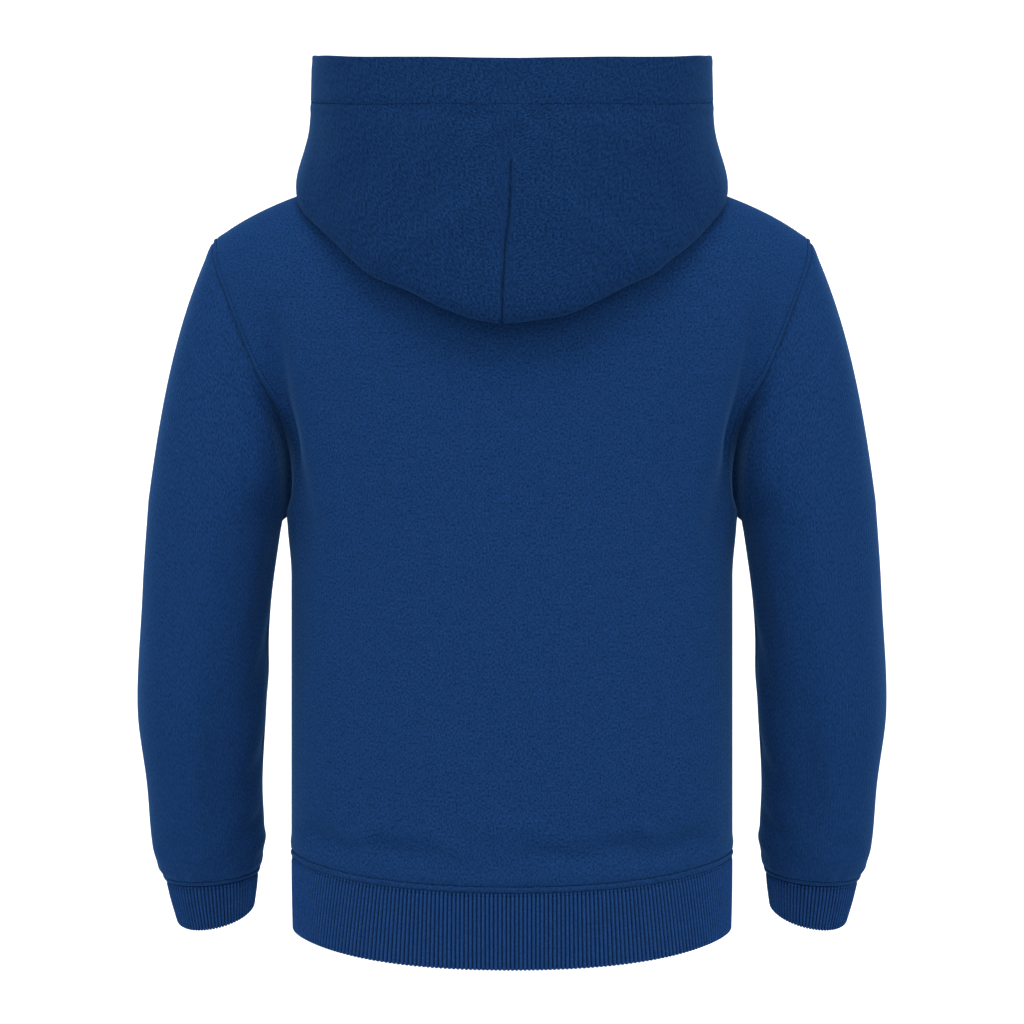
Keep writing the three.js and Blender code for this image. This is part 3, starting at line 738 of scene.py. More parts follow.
def cuff_points(level, turn):
    """A cuff's outer face between its ribs."""
    z = mix(-CUFF_SEAM - SEAM_GAP, -CUFF_END, level)
    return oval_points(CUFF_RINGS, z, turn)


def rib_height(phase, depth):
    """A rib's relief over its phase: a round top 1 wide with a narrow valley at whole numbers."""
    u = np.abs(np.sin(np.pi * phase))
    return depth * (u**0.8 - 0.62)


def ribbed_band(name, place, angles, lean, height, depth, wall, side):
    """A doubled band of ribs: down its outer face, round its lower edge and up its inner face.
    place gives the outer face between the ribs, angles a turn for each column and lean how much
    further it has turned at the band's lower edge."""
    phase = np.arange(len(angles)) / POINTS_PER_RIB
    down = graded(height, 4.0, 0.55, 3.5, 1)
    edge = np.linspace(0, np.pi, 7)[1:-1]
    up = graded(height, 8.0, 2.0, 1, 1)[::-1]
    radius = wall / 2
    # Each row's share of the height, how far it lies inside the outer face and below the edge's
    # centre, and how much of its ribs points outwards.
    level = np.concatenate([down, np.ones(len(edge)), up])[:, None]
    none = np.zeros(len(down))
    inwards = np.concatenate([none, radius * (1 - np.cos(edge)), np.full(len(up), wall)])
    below = np.concatenate([none, radius * np.sin(edge), np.zeros(len(up))])
    facing = np.concatenate([np.ones(len(down)), np.cos(edge), -np.ones(len(up))])[:, None]
    downwards = np.sqrt(np.maximum(1 - facing**2, 0))
    turns = angles[None, :] + lean * level
    level = np.broadcast_to(level, turns.shape)
    trimmed = level * (1 - radius / height)
    base = place(trimmed, turns)
    ahead = place(trimmed, turns + 0.002) - base
    lower = place(trimmed + 0.01, turns) - base
    out = -unit(np.cross(ahead, -lower))
    outwards = np.einsum("ijk,ijk->ij", out, base - base.mean(axis=1, keepdims=True))
    out = np.where((outwards < 0)[..., None], -out, out)
    d_seam = level * height
    ribs = rib_height(phase, depth)[None, :]
    relief = ribs * mix(0.5, 1, smooth(d_seam, 0.2, 2.2)) - 0.5 * bell(d_seam, 0.6)
    relief *= 1 - 0.4 * downwards
    relief -= 0.55 * bell(d_seam - RIB_STITCH, 0.55)
    offset_out = radius - inwards[:, None] + relief * facing
    offset_down = below[:, None] + relief * downwards
    grid = base + out * (offset_out - radius)[..., None] + unit(lower) * offset_down[..., None]
    across = np.concatenate([phase, [2 * phase[-1] - phase[-2]]]) * RIB_PITCH
    lengthwise = lengths(grid, 0).mean(axis=1)
    uv = np.stack(np.broadcast_arrays(across[None, :], lengthwise[:, None]), -1)
    piece = closed_strip(name, grid, side, uv)
    return piece, {"outer": grid, "normals": out, "down": down * height}


def closed_strip(name, grid, side, uv):
    """A mesh from a grid whose rows are rings and whose first and last rings are joined too."""
    index = numbers(*grid.shape[:2])
    index = np.concatenate([index, index[:, :1]], axis=1)
    index = np.concatenate([index, index[:1]], axis=0)
    # The cloth that joins the last ring to the first is 3 mm wide.
    full = np.concatenate([uv, uv[-1:] + [[[0, 3.0]]]], axis=0)
    faces, order = quads(index), quads(numbers(*full.shape[:2]))
    if side < 0:
        faces, order = faces[:, ::-1], order[:, ::-1]
    corners = full.reshape(-1, 2)[order.reshape(-1)] / 1000
    return mesh_object(name, grid.reshape(-1, 3) / 1000, [faces], corners)


# ---------------------------------------------------------------- the hood


def neck_seam(turn):
    """The neck seam, on the straight lines between the panels' neckline points."""
    step = 15.0
    k = np.floor(turn / step)

    def corner(k):
        """The neckline's point at k steps round the neck, just above the panel's edge."""
        angle = np.radians(k * step)
        across = (2 / np.pi) * np.arcsin((NECK_HALF / SHOULDER_HALF) * np.sin(angle))
        two = np.full_like(across, 2.0)
        back, front = body_points(BACK, across, two), body_points(FRONT, across, two)
        line = np.where((np.cos(angle) > 0)[..., None], back, front)
        return line + [0, 0, SEAM_GAP]

    share = (turn / step - k)[..., None]
    return corner(k) * (1 - share) + corner(k + 1) * share


def bowing(turn):
    """How far the hood has gone over from a folded to a bowed profile, towards the throat."""
    return smooth(turn, 142, 165)


def hood_profile(turn):
    """The points that the cloth passes through from the neck seam to the face edge: up the stand,
    over the roll, down to the fold and up again. Towards the throat it only bows."""
    seam = neck_seam(turn)
    fold = points(*(along(HOOD_FOLD, "turn", turn, key) for key in "xyz"))
    edge = points(*(along(HOOD_EDGE, "turn", turn, key) for key in "xyz"))
    stand, reach, half, swell = (
        along(HOOD_LIE, "turn", turn, key)[..., None] for key in ("stand", "out", "half", "swell")
    )
    out = unit((fold - seam) * [1, 1, 0])
    up = np.array([0, 0, 1.0])
    roll = seam + out * reach + up * stand
    fall = (roll + fold) / 2 + out * reach / 3
    rise = (fold + edge) / 2 + out * swell

    def turned(towards, sideways):
        """A point beside the fold, on the way to the next one and set off outwards."""
        way = towards - fold
        length = np.linalg.norm(way, axis=-1, keepdims=True)
        upright = np.maximum(0, way[..., 2:3] / length)
        return fold + way * np.minimum(0.45, half / length) + out * sideways * upright

    first = seam + out * 0.25 * reach + up * 0.55 * stand
    folded = np.stack(
        [seam, first, roll, fall, turned(fall, -half), fold, turned(rise, half), rise, edge]
    )
    low, high = seam + out * 15 - up * 7, edge + out * 5 - up * 24
    ninths = np.broadcast_to((np.arange(9) / 8)[:, None], (9, len(turn)))
    bowed = bezier(seam, low, high, edge, ninths)
    share = bowing(turn)[..., None]
    return folded * (1 - share) + bowed * share


def catmull(profile, at):
    """A centripetal Catmull-Rom curve through profile[k] for each column, at rows `at`, 0 to 8."""
    first, last = 2 * profile[:1] - profile[1:2], 2 * profile[-1:] - profile[-2:-1]
    knots = np.concatenate([first, profile, last])
    i = np.clip(np.floor(at).astype(int), 0, 7)
    t = (at - i)[..., None]
    cols = np.arange(profile.shape[1])[None, :]
    a, b, c, d = (knots[i + k, cols] for k in range(4))

    def gap(p, q):
        """The square root of the distance between two points."""
        return np.maximum(np.linalg.norm(q - p, axis=-1, keepdims=True) ** 0.5, 1e-4)

    ab, bc, cd = gap(a, b), gap(b, c), gap(c, d)
    leave = ((b - a) / ab - (c - a) / (ab + bc) + (c - b) / bc) * bc
    arrive = ((c - b) / bc - (d - b) / (bc + cd) + (d - c) / cd) * bc
    two = -3 * b + 3 * c - 2 * leave - arrive
    three = 2 * b - 2 * c + leave + arrive
    return b + leave * t + two * t**2 + three * t**3


def hood_piece(name, rows, wall):
    """The folded hood with its back seam, its turned hem and its stitch line."""
    # Columns in degrees round the neck, closest together at the back seam. Their number is odd, as
    # is that of the rows.
    fine = np.arange(-7.5, 7.51, 0.34)
    rest = np.linspace(fine[-1], HOOD_END, 125)[1:]
    turns = np.concatenate([-rest[::-1], fine, rest])
    if len(turns) % 2 == 0:
        turns = np.delete(turns, 3)
    # Past the front's middle the other side's profile is mirrored, and it narrows.
    past = np.maximum(0, np.abs(turns) - 180)
    way = np.where(past > 0, -1, 1) * np.where(turns < 0, -1, 1)
    profile = hood_profile(np.abs(turns) - 2 * past)
    # Rows from the neck seam to the face edge, closest together at the fold and at the hem.
    way_up = np.linspace(0, 8, 2001)
    pitch = np.interp(
        way_up,
        [0, 0.2, 2.5, 3.6, 4.2, 5.8, 6.4, 6.9, 7.1, 7.6, 7.9, 8],
        [1.2, 2, 2.4, 1.8, 0.8, 0.8, 1.6, 1.2, 0.7, 0.9, 0.9, 0.6],
    )
    density = np.concatenate([[0], np.cumsum(1 / pitch)[:-1]])
    at = np.interp(np.linspace(0, density[-1], rows), density, way_up)
    grid = catmull(profile, at[:, None] * (1 - 0.04 * past)[None, :])
    grid[..., 0] *= way
    directions = normals_of(grid, False, -1)
    bowed = bowing(np.abs(turns))
    directions[0, :, 2] *= bowed
    directions = unit(directions)
    behind = CROSSING * smooth(-turns, 157, 172)
    grid = grid - directions * behind[None, :, None]
    d_up = lengths(grid, 0)
    to_edge = d_up[-1:] - d_up
    hem = 1 - smooth(to_edge, CASING - 2, CASING + 3)
    row = np.broadcast_to(at[:, None], to_edge.shape)
    visible = smooth(row, 4.6, 5.4) * (1 - bowed)[None, :]
    x, z = grid[..., 0], grid[..., 2]
    relief = fold_heights(HOOD_FOLDS, x, z) * visible * smooth(to_edge, 6, 16)
    # The back seam runs from below the hem round the fold to the neck.
    off = x - along(HOOD_SEAM, "z", z, "x")
    ends = np.where(row > 5, 1 - smooth(z, -9, -5), 1.0) * (1 - bowed)[None, :]
    relief += ends * (-2.8 * bell(off, 0.8) + 0.5 * bell(np.abs(off) - 3, 1.8))
    stitch_line = to_edge - CASING
    relief += 0.3 * hem - 0.75 * bell(stitch_line, 0.6) + 0.4 * bell(stitch_line - 4, 2.6)
    relief += 0.25 * bell(to_edge - 3, 3) * waves(x, (37, 0.8, 0.3), (61, 0.9, 2.0))
    lumps = waves(x, (46, 0.5, 1.1), (71, 0.6, 0.2), (29, 0.25, 2.6))
    relief += lumps * bell(row - 5.2, 0.5) * (1 - bowed)[None, :]
    relief += plain_seam(d_up)
    outer = grid + directions * relief[..., None]
    thick = mix(wall, CASING_WALL, hem)
    # The face edge is rounded over half the hem's thickness.
    tip = unit(grid[-1] - grid[-2])
    curl = np.radians([30, 60, 90, 120, 150, 172])[:, None]
    radius = thick[-1] / 2
    forward, inward = radius * np.sin(curl), radius * (1 - np.cos(curl))
    edge = outer[-1] + tip * forward[..., None] - directions[-1] * inward[..., None]
    outer = np.concatenate([outer, edge])
    directions = np.concatenate([directions, np.repeat(directions[-1:], len(curl), axis=0)])
    thick = np.concatenate([thick, np.maximum(radius * (1 + np.cos(curl)), 0.02)])
    if len(outer) % 2 == 0:
        outer, directions = np.delete(outer, 3, axis=0), np.delete(directions, 3, axis=0)
        thick = np.delete(thick, 3, axis=0)
    uv = cloth_uv(outer, False)[..., ::-1]
    piece = shell(name, outer, directions, thick, False, -1, uv)
    return piece, {"grid": grid, "relief": relief, "turns": turns, "to_edge": to_edge}


# ---------------------------------------------------------------- stitches


def level_line(grid, normals, distance, wanted, axis=0):
    """The line on a grid where `distance`, which grows along an axis, has the wanted value, read
    between the two points of each column that it lies between."""
    if axis == 1:
        grid, normals = grid.swapaxes(0, 1), normals.swapaxes(0, 1)
        distance = distance.swapaxes(0, 1)
    column = np.arange(distance.shape[1])
    row = np.clip((distance <= wanted).sum(axis=0) - 1, 0, len(distance) - 2)
    before, after = distance[row, column], distance[row + 1, column]
    share = np.clip((wanted - before) / (after - before), 0, 1)[:, None]
    line = mix(grid[row, column], grid[row + 1, column], share)
    return line, unit(mix(normals[row, column], normals[row + 1, column], share))


def closed(values):
    """A line with its first point again at its end."""
    return np.concatenate([values, values[:1]])


def evened(line, width):
    """A closed line without its ribs: each point is the mean of `width` points beside it."""
    kernel = np.ones(width) / width
    loop = np.concatenate([line[-width:], line, line[:width]])
    return np.stack([np.convolve(loop[:, k], kernel, "same")[width:-width] for k in range(3)], -1)


def stitch_run(line, facing, pitch, thread, lift):
    """Stitches along a line, each a rounded stub: a sphere's rings drawn out along the line."""
    length = lengths(line, 0)
    count = max(1, int(length[-1] / pitch))
    centre_at = (np.arange(count) + 0.5) * length[-1] / count

    def read(values, at):
        """The points or directions at places along the line."""
        return np.stack([np.interp(at, length, values[:, k]) for k in range(3)], -1)

    centre, up = read(line, centre_at), unit(read(facing, centre_at))
    ahead = unit(read(line, centre_at + 0.5) - read(line, centre_at - 0.5))
    sideways = unit(np.cross(ahead, up))
    ring = np.radians([28, 62, 90, 118, 152])[:, None]
    side = np.arange(6)[None, :] * np.pi / 3
    half = 0.36 * length[-1] / count
    stub = points(-half * np.cos(ring), thread * np.sin(ring) * np.cos(side),
                  thread * np.sin(ring) * np.sin(side)).reshape(-1, 3)
    local = np.concatenate([[(-half, 0, 0)], stub, [(half, 0, 0)]])
    jitter = 1 + 0.12 * np.sin(np.arange(count) * 2.399)[:, None, None]
    placed = (
        centre[:, None] + up[:, None] * lift
        + ahead[:, None] * local[None, :, :1] * jitter
        + sideways[:, None] * local[None, :, 1:2]
        + up[:, None] * local[None, :, 2:]
    )
    # One stub's triangles at its two ends, and the four-cornered faces between its rings.
    ends, bands = [], []
    for b in range(6):
        c = (b + 1) % 6
        ends += [(0, 1 + c, 1 + b), (len(local) - 1, 25 + b, 25 + c)]
        bands += [(k + b, k + c, k + 6 + c, k + 6 + b) for k in (1, 7, 13, 19)]
    first = (np.arange(count) * len(local))[:, None, None]
    ends, bands = (np.array(faces)[None] + first for faces in (ends, bands))
    return placed.reshape(-1, 3), ends.reshape(-1, 3), bands.reshape(-1, 4)


def stitches(name, runs, pitch, thread, lift):
    """One mesh of all the stitches along several lines."""
    vertices, ends, bands, first = [], [], [], 0
    for line, facing in runs:
        v, e, b = stitch_run(line, facing, pitch, thread, lift)
        vertices.append(v)
        ends.append(e + first)
        bands.append(b + first)
        first += len(v)
    faces = [np.concatenate(ends), np.concatenate(bands)]
    return mesh_object(name, np.concatenate(vertices) / 1000, faces)


# ---------------------------------------------------------------- materials


def add_node(tree, kind, **inputs):
    """A node with its settings and its input values."""
    node = tree.nodes.new(kind)
    for key, value in inputs.items():
        if key in node.inputs:
            node.inputs[key].default_value = value
        else:
            setattr(node, key, value)
    return node


def ranged(tree, source, kind="LINEAR", **limits):
    """An output's value carried over from one range to another, which From Min, From Max, To Min
    and To Max say with an underscore in their names."""
    node = add_node(tree, "ShaderNodeMapRange", interpolation_type=kind)
    for key, value in limits.items():
        node.inputs[key.replace("_", " ")].default_value = value
    tree.links.new(source, node.inputs["Value"])
    return node.outputs["Result"]


def product(tree, first, second):
    """One output times another one, or times a number."""
    node = add_node(tree, "ShaderNodeMath", operation="MULTIPLY")
    tree.links.new(first, node.inputs[0])
    if isinstance(second, float):
        node.inputs[1].default_value = second
    else:
        tree.links.new(second, node.inputs[1])
    return node.outputs[0]


def knit(name, colour, wale, speckle, ribbed=False):
    """Knitted cloth: yarns of uneven shade in fine upright wales, with loose fibres on them."""
    material = bpy.data.materials.new(name)
    material.use_nodes = True
    tree = material.node_tree
    link = tree.links.new
    shader = tree.nodes["Principled BSDF"]
    shader.inputs["Roughness"].default_value = 0.95
    shader.inputs["Specular IOR Level"].default_value = 0
    shader.inputs["Sheen Weight"].default_value = 0.25
    shader.inputs["Sheen Roughness"].default_value = 0.4
    shader.inputs["Sheen Tint"].default_value = (0.14, 0.38, 0.8, 1)
    uv = add_node(tree, "ShaderNodeUVMap", uv_map="cloth")

    stretched = add_node(tree, "ShaderNodeMapping")
    stretched.inputs["Scale"].default_value = (1000 / (0.85 * wale), 1000 / (1.1 * wale), 1)
    link(uv.outputs["UV"], stretched.inputs["Vector"])
    yarns = add_node(tree, "ShaderNodeTexNoise", Scale=1.0, Detail=1.0, Roughness=0.6)
    link(stretched.outputs["Vector"], yarns.inputs["Vector"])
    shade = ranged(
        tree, yarns.outputs["Fac"], From_Min=0.25, From_Max=0.75, To_Min=1 - speckle, To_Max=1 + speckle
    )

    broad = add_node(tree, "ShaderNodeTexNoise", Scale=1000 / 9, Detail=3.0)
    link(uv.outputs["UV"], broad.inputs["Vector"])
    both = product(tree, shade, ranged(tree, broad.outputs["Fac"], To_Min=0.86, To_Max=1.14))
    if ribbed:
        # Painted shade and painted highlight: the cloth is painted darker down in the valleys, which
        # lie at whole numbers of ribs, and lighter on the ribs' tops.
        split = add_node(tree, "ShaderNodeSeparateXYZ")
        link(uv.outputs["UV"], split.inputs[0])
        turn = product(tree, split.outputs["X"], math.pi * 1000 / RIB_PITCH)
        sine = add_node(tree, "ShaderNodeMath", operation="SINE")
        link(turn, sine.inputs[0])
        height = add_node(tree, "ShaderNodeMath", operation="ABSOLUTE")
        link(sine.outputs[0], height.inputs[0])
        valley = ranged(
            tree, height.outputs[0], "SMOOTHSTEP", From_Min=0.1, From_Max=0.9, To_Min=0.5, To_Max=1.5
        )
        both = product(tree, both, valley)
    cloth = add_node(tree, "ShaderNodeMix", data_type="RGBA", blend_type="MULTIPLY")
    cloth.inputs["Factor"].default_value = 1.0
    cloth.inputs[6].default_value = (*colour, 1)
    link(both, cloth.inputs[7])
    link(cloth.outputs[2], shader.inputs["Base Color"])

    # The wave texture repeats 20 / pi times a unit at a scale of 1.
    wales = 1000 / wale / 20 * math.pi
    loops = add_node(tree, "ShaderNodeTexWave", Scale=wales, Distortion=1.2, Detail=1.0)
    loops.inputs["Detail Scale"].default_value = 1.5
    loops.bands_direction = "X"
    link(uv.outputs["UV"], loops.inputs["Vector"])
    ridges = 0.0 if ribbed else 0.5
    bump_wales = add_node(tree, "ShaderNodeBump", Strength=ridges, Distance=0.00015)
    link(loops.outputs["Fac"], bump_wales.inputs["Height"])
    bump_fibres = add_node(tree, "ShaderNodeBump", Strength=0.6, Distance=0.0002)
    link(yarns.outputs["Fac"], bump_fibres.inputs["Height"])
    link(bump_wales.outputs["Normal"], bump_fibres.inputs["Normal"])
    link(bump_fibres.outputs["Normal"], shader.inputs["Normal"])
    return material


def plain(name, colour, roughness):
    """A matt material in one colour, with fine grain in its bump."""
    material = bpy.data.materials.new(name)
    material.use_nodes = True
    tree = material.node_tree
    shader = tree.nodes["Principled BSDF"]
    shader.inputs["Base Color"].default_value = (*colour, 1)
    shader.inputs["Roughness"].default_value = roughness
    shader.inputs["Specular IOR Level"].default_value = 0
    place = add_node(tree, "ShaderNodeTexCoord")
    grain = add_node(tree, "ShaderNodeTexNoise", Scale=3000.0, Detail=2.0)
    tree.links.new(place.outputs["Object"], grain.inputs["Vector"])
    bump = add_node(tree, "ShaderNodeBump", Strength=0.4, Distance=0.0001)
    tree.links.new(grain.outputs["Fac"], bump.inputs["Height"])
    tree.links.new(bump.outputs["Normal"], shader.inputs["Normal"])
    return material


# ---------------------------------------------------------------- settings


class HoodieCloth(bpy.types.PropertyGroup):
    """The cloth of the body, the sleeves and the hood."""

    colour: bpy.props.FloatVectorProperty(
        name="Fleece colour", description="Colour of the fleece", subtype="COLOR",
        size=3, default=(0.0086, 0.035, 0.119), min=0, max=1,
    )
    wall: bpy.props.FloatProperty(
        name="Wall", description="Thickness of the fleece", default=0.002,
        min=0.001, max=0.003, unit="LENGTH",
    )
    wale: bpy.props.FloatProperty(
        name="Wale", description="Width of one column of knit loops", default=0.0015,
        min=0.0005, max=0.004, unit="LENGTH",
    )
    coarse: bpy.props.FloatProperty(
        name="Grid", description="Distance between points of the cloth away from its seams",
        default=0.0019, min=0.001, max=0.01, unit="LENGTH",
    )
    speckle: bpy.props.FloatProperty(
        name="Speckle", description="How much lighter and darker single yarns are",
        default=0.46, min=0, max=1, subtype="FACTOR",
    )


class HoodieRibs(bpy.types.PropertyGroup):
    """The ribbed waistband and cuffs."""

    colour: bpy.props.FloatVectorProperty(
        name="Rib colour", description="Colour of the ribbed cloth", subtype="COLOR",
        size=3, default=(0.0082, 0.0325, 0.112), min=0, max=1,
    )
    wall: bpy.props.FloatProperty(
        name="Wall", description="Thickness of the doubled rib cloth", default=0.0026,
        min=0.001, max=0.005, unit="LENGTH",
    )
    depth: bpy.props.FloatProperty(
        name="Rib depth", description="How far a rib stands out of its valley", default=0.0016,
        min=0, max=0.003, unit="LENGTH",
    )
    waistband_ribs: bpy.props.IntProperty(
        name="Waistband ribs", description="Ribs round the waistband", default=288, min=40, max=600,
    )
    cuff_ribs: bpy.props.IntProperty(
        name="Cuff ribs", description="Ribs round a cuff", default=76, min=20, max=200,
    )
    fan: bpy.props.FloatProperty(
        name="Fan", description="How far the ribs lean outwards on the way down the band",
        default=0.012, min=0, max=0.03, unit="LENGTH",
    )


class HoodieStitches(bpy.types.PropertyGroup):
    """The sewing thread."""

    colour: bpy.props.FloatVectorProperty(
        name="Thread colour", description="Colour of the thread", subtype="COLOR",
        size=3, default=(0.003, 0.012, 0.045), min=0, max=1,
    )
    pitch: bpy.props.FloatProperty(
        name="Stitch", description="Length of one stitch with its gap", default=0.0022,
        min=0.001, max=0.006, unit="LENGTH",
    )
    thread: bpy.props.FloatProperty(
        name="Thread", description="Half the thickness of the thread", default=0.00032,
        min=0.0001, max=0.001, unit="LENGTH",
    )
    needle: bpy.props.FloatProperty(
        name="Needle line", description="From the seam to the stitches beside it",
        default=COVERSTITCH / 1000,
        min=0.001, max=0.01, unit="LENGTH",
    )


class HoodieStage(bpy.types.PropertyGroup):
    """The floor, the lights and the camera."""

    floor: bpy.props.FloatProperty(
        name="Floor", description="Height of the floor", default=-1.2, max=-0.55, unit="LENGTH",
    )
    distance: bpy.props.FloatProperty(
        name="Distance", description="From the camera to the middle of the hoodie", default=2.2,
        min=1, unit="LENGTH",
    )
    height: bpy.props.FloatProperty(
        name="Height", description="Height of the camera", default=-0.2408, unit="LENGTH",
    )
    lens: bpy.props.FloatProperty(
        name="Lens", description="Focal length in mm", default=110.5, min=20, max=300,
    )
    key: bpy.props.FloatProperty(
        name="Key light", description="Power of each side light in W", default=30.0, min=0,
    )


GROUPS = {
    "hoodie_cloth": HoodieCloth,
    "hoodie_ribs": HoodieRibs,
    "hoodie_stitches": HoodieStitches,
    "hoodie_stage": HoodieStage,
}

# What one operator leaves for the next: each piece by its name, and the grids that the stitches
# follow.
made = {}
finishes = {}  # the materials made so far


# The hood hangs upside down. Its fleece is painted a shade darker than the body's, as painted shade for
# the darker light on the hood, and its speckle is coarser.
HOOD_PAINTED_SHADE = 0.71
HOOD_SPECKLE = 1.35
RIB_SPECKLE = 0.6


def material_of(kind):
    """The material of this kind, made when first asked for."""
    scene = bpy.context.scene
    cloth, ribs = scene.hoodie_cloth, scene.hoodie_ribs
    wale, speckle = cloth.wale * 1000, cloth.speckle
    if kind not in finishes:
        if kind == "fleece":
            finishes[kind] = knit("brushed fleece", tuple(cloth.colour), wale, speckle)
        elif kind == "hood":
            # Painted shade: the hood gets a darker copy of the body's fleece.
            darker = tuple(HOOD_PAINTED_SHADE * c for c in cloth.colour)
            finishes[kind] = knit("brushed fleece of the hood with painted shade", darker, wale, speckle * HOOD_SPECKLE)
        elif kind == "rib":
            finishes[kind] = knit("ribbed knit", tuple(ribs.colour), wale, speckle * RIB_SPECKLE, True)
        elif kind == "thread":
            finishes[kind] = plain("sewing thread", tuple(scene.hoodie_stitches.colour), 0.8)
        else:
            raise RuntimeError(f"no material is called {kind}")
    return finishes[kind]


def finish_piece(piece, kind, node=None):
    """Gives a piece its material and its body, hides the solid that it stands for and keeps the piece
    by its name.
    """
    piece.data.materials.append(material_of(kind))
    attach(piece, "root")
    if node:
        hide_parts(node)
    made[piece.name] = piece


# ---------------------------------------------------------------- operators


class HOODIE_OT_body(bpy.types.Operator):
    """Make the back and the front of the body."""

    bl_idname = "hoodie.body"
    bl_label = "Body"

    def execute(self, context):
        cloth = context.scene.hoodie_cloth
        coarse, wall = cloth.coarse * 1000, cloth.wall * 1000
        for name, node, panel, folds, pitch in (
            ("back_cloth", "back_panel", BACK, BACK_FOLDS, coarse),
            ("front_cloth", "front_panel", FRONT, FRONT_FOLDS, coarse * FRONT_COARSER),
        ):
            piece, made[name + "_grid"] = body_panel(name, panel, folds, pitch, wall)
            finish_piece(piece, "fleece", node)
        return {"FINISHED"}


class HOODIE_OT_sleeves(bpy.types.Operator):
    """Make the two sleeves."""

    bl_idname = "hoodie.sleeves"
    bl_label = "Sleeves"

    def execute(self, context):
        cloth = context.scene.hoodie_cloth
        coarse = cloth.coarse * 1000 * SLEEVE_COARSER
        for hand, side in SIDES:
            name = f"cloth_sleeve_{hand}"
            piece, made[name + "_grid"] = sleeve_piece(
                name, side, SLEEVE_COLUMNS, coarse, cloth.wall * 1000
            )
            finish_piece(piece, "fleece", f"sleeve_{hand}")
        return {"FINISHED"}


class HOODIE_OT_hood(bpy.types.Operator):
    """Make the folded hood."""

    bl_idname = "hoodie.hood"
    bl_label = "Hood"

    def execute(self, context):
        wall = context.scene.hoodie_cloth.wall * 1000
        piece, made["hood_grid"] = hood_piece("cloth_hood", HOOD_ROWS, wall)
        finish_piece(piece, "hood", "hood")
        return {"FINISHED"}


class HOODIE_OT_ribs(bpy.types.Operator):
    """Make the ribbed waistband and cuffs."""

    bl_idname = "hoodie.ribs"
    bl_label = "Ribbed bands"

    def execute(self, context):
        ribs = context.scene.hoodie_ribs
        depth, wall = ribs.depth * 1000, ribs.wall * 1000
        count = ribs.waistband_ribs * POINTS_PER_RIB
        angles = even_angles(BODY_HALF, BACK["depth"], FRONT["depth"], count)
        sine, cosine = np.sin(angles), np.cos(angles)
        lean = ribs.fan * 1000 / FAN_RADIUS * cosine * np.abs(sine) ** 0.8
        lean = lean * np.abs(cosine) ** 1.8 * np.where(sine > 0, -1, 1)
        piece, made["waistband_grid"] = ribbed_band(
            "rib_waistband", waistband_points, angles, lean, WAISTBAND_HEIGHT,
            depth, wall, -1,
        )
        finish_piece(piece, "rib", "waistband")
        count = ribs.cuff_ribs * POINTS_PER_RIB
        angles = 2 * np.pi * np.arange(count) / count
        for hand, side in SIDES:

            def place(level, turn, side=side):
                """This side's cuff: the right one is the left one mirrored."""
                grid = cuff_points(level, turn)
                grid[..., 0] *= side
                return grid

            name = f"rib_cuff_{hand}"
            piece, made[name + "_grid"] = ribbed_band(
                name, place, angles, 0.0, CUFF_LENGTH, depth * CUFF_RIB_SHARE, wall, -side
            )
            finish_piece(piece, "rib", f"cuff_{hand}")
        return {"FINISHED"}


class HOODIE_OT_stitches(bpy.types.Operator):
    """Sew the stitches along the armholes, the hood's hem, the waistband and the cuffs."""

    bl_idname = "hoodie.stitches"
    bl_label = "Stitches"

    def execute(self, context):
        settings = context.scene.hoodie_stitches
        pitch, thread, needle = (
            1000 * size for size in (settings.pitch, settings.thread, settings.needle)
        )
        armholes, hem_lines = [], []
        for name in ("back_cloth_grid", "front_cloth_grid"):
            g = made[name]
            # The stitches run from the underarm to just below the shoulder seam.
            upper = np.where(g["height"] > 1.02)[0][:-6]
            d = g["d_row"][upper]
            outer, facing = g["outer"][upper], g["normals"][upper]
            armholes.append(level_line(outer, facing, d, TOPSTITCH, 1))
            d = (d[:, -1:] - d)[:, ::-1]
            armholes.append(level_line(outer[:, ::-1], facing[:, ::-1], d, TOPSTITCH, 1))
            hem_lines.append(level_line(g["outer"], g["normals"], g["d_up"], needle))
        cuff_lines = {}
        for hand, _ in SIDES:
            g = made[f"cloth_sleeve_{hand}_grid"]
            line, facing = level_line(
                g["outer"][::-1], g["normals"][::-1], g["d_cuff"][::-1], needle
            )
            cuff_lines[hand] = [(closed(line), closed(facing))]
        for name, target in (
            ("waistband_grid", hem_lines),
            ("rib_cuff_left_grid", cuff_lines["left"]),
            ("rib_cuff_right_grid", cuff_lines["right"]),
        ):
            g = made[name]
            row = int(np.argmin(np.abs(g["down"] - RIB_STITCH)))
            line = evened(g["outer"][row], 2 * POINTS_PER_RIB + 1)
            target.append((closed(line), closed(g["normals"][row])))
        g = made["hood_grid"]
        directions = normals_of(g["grid"], False, -1)
        outer = g["grid"] + directions * g["relief"][..., None]
        inside = np.where(np.abs(g["turns"]) < HEM_STITCH_END)[0]
        hood_line = level_line(
            outer[::-1, inside], directions[::-1, inside], g["to_edge"][::-1, inside], CASING
        )
        # How far each thread's middle lies above its cloth comes last.
        for name, runs, lift in (
            ("thread_armholes", armholes, -0.05),
            ("thread_waistband", hem_lines, 0.1),
            ("thread_cuff_left", cuff_lines["left"], 0.1),
            ("thread_cuff_right", cuff_lines["right"], 0.1),
            ("thread_hood", [hood_line], 0.0),
        ):
            piece = stitches(name, runs, pitch, thread, lift)
            finish_piece(piece, "thread")
        return {"FINISHED"}


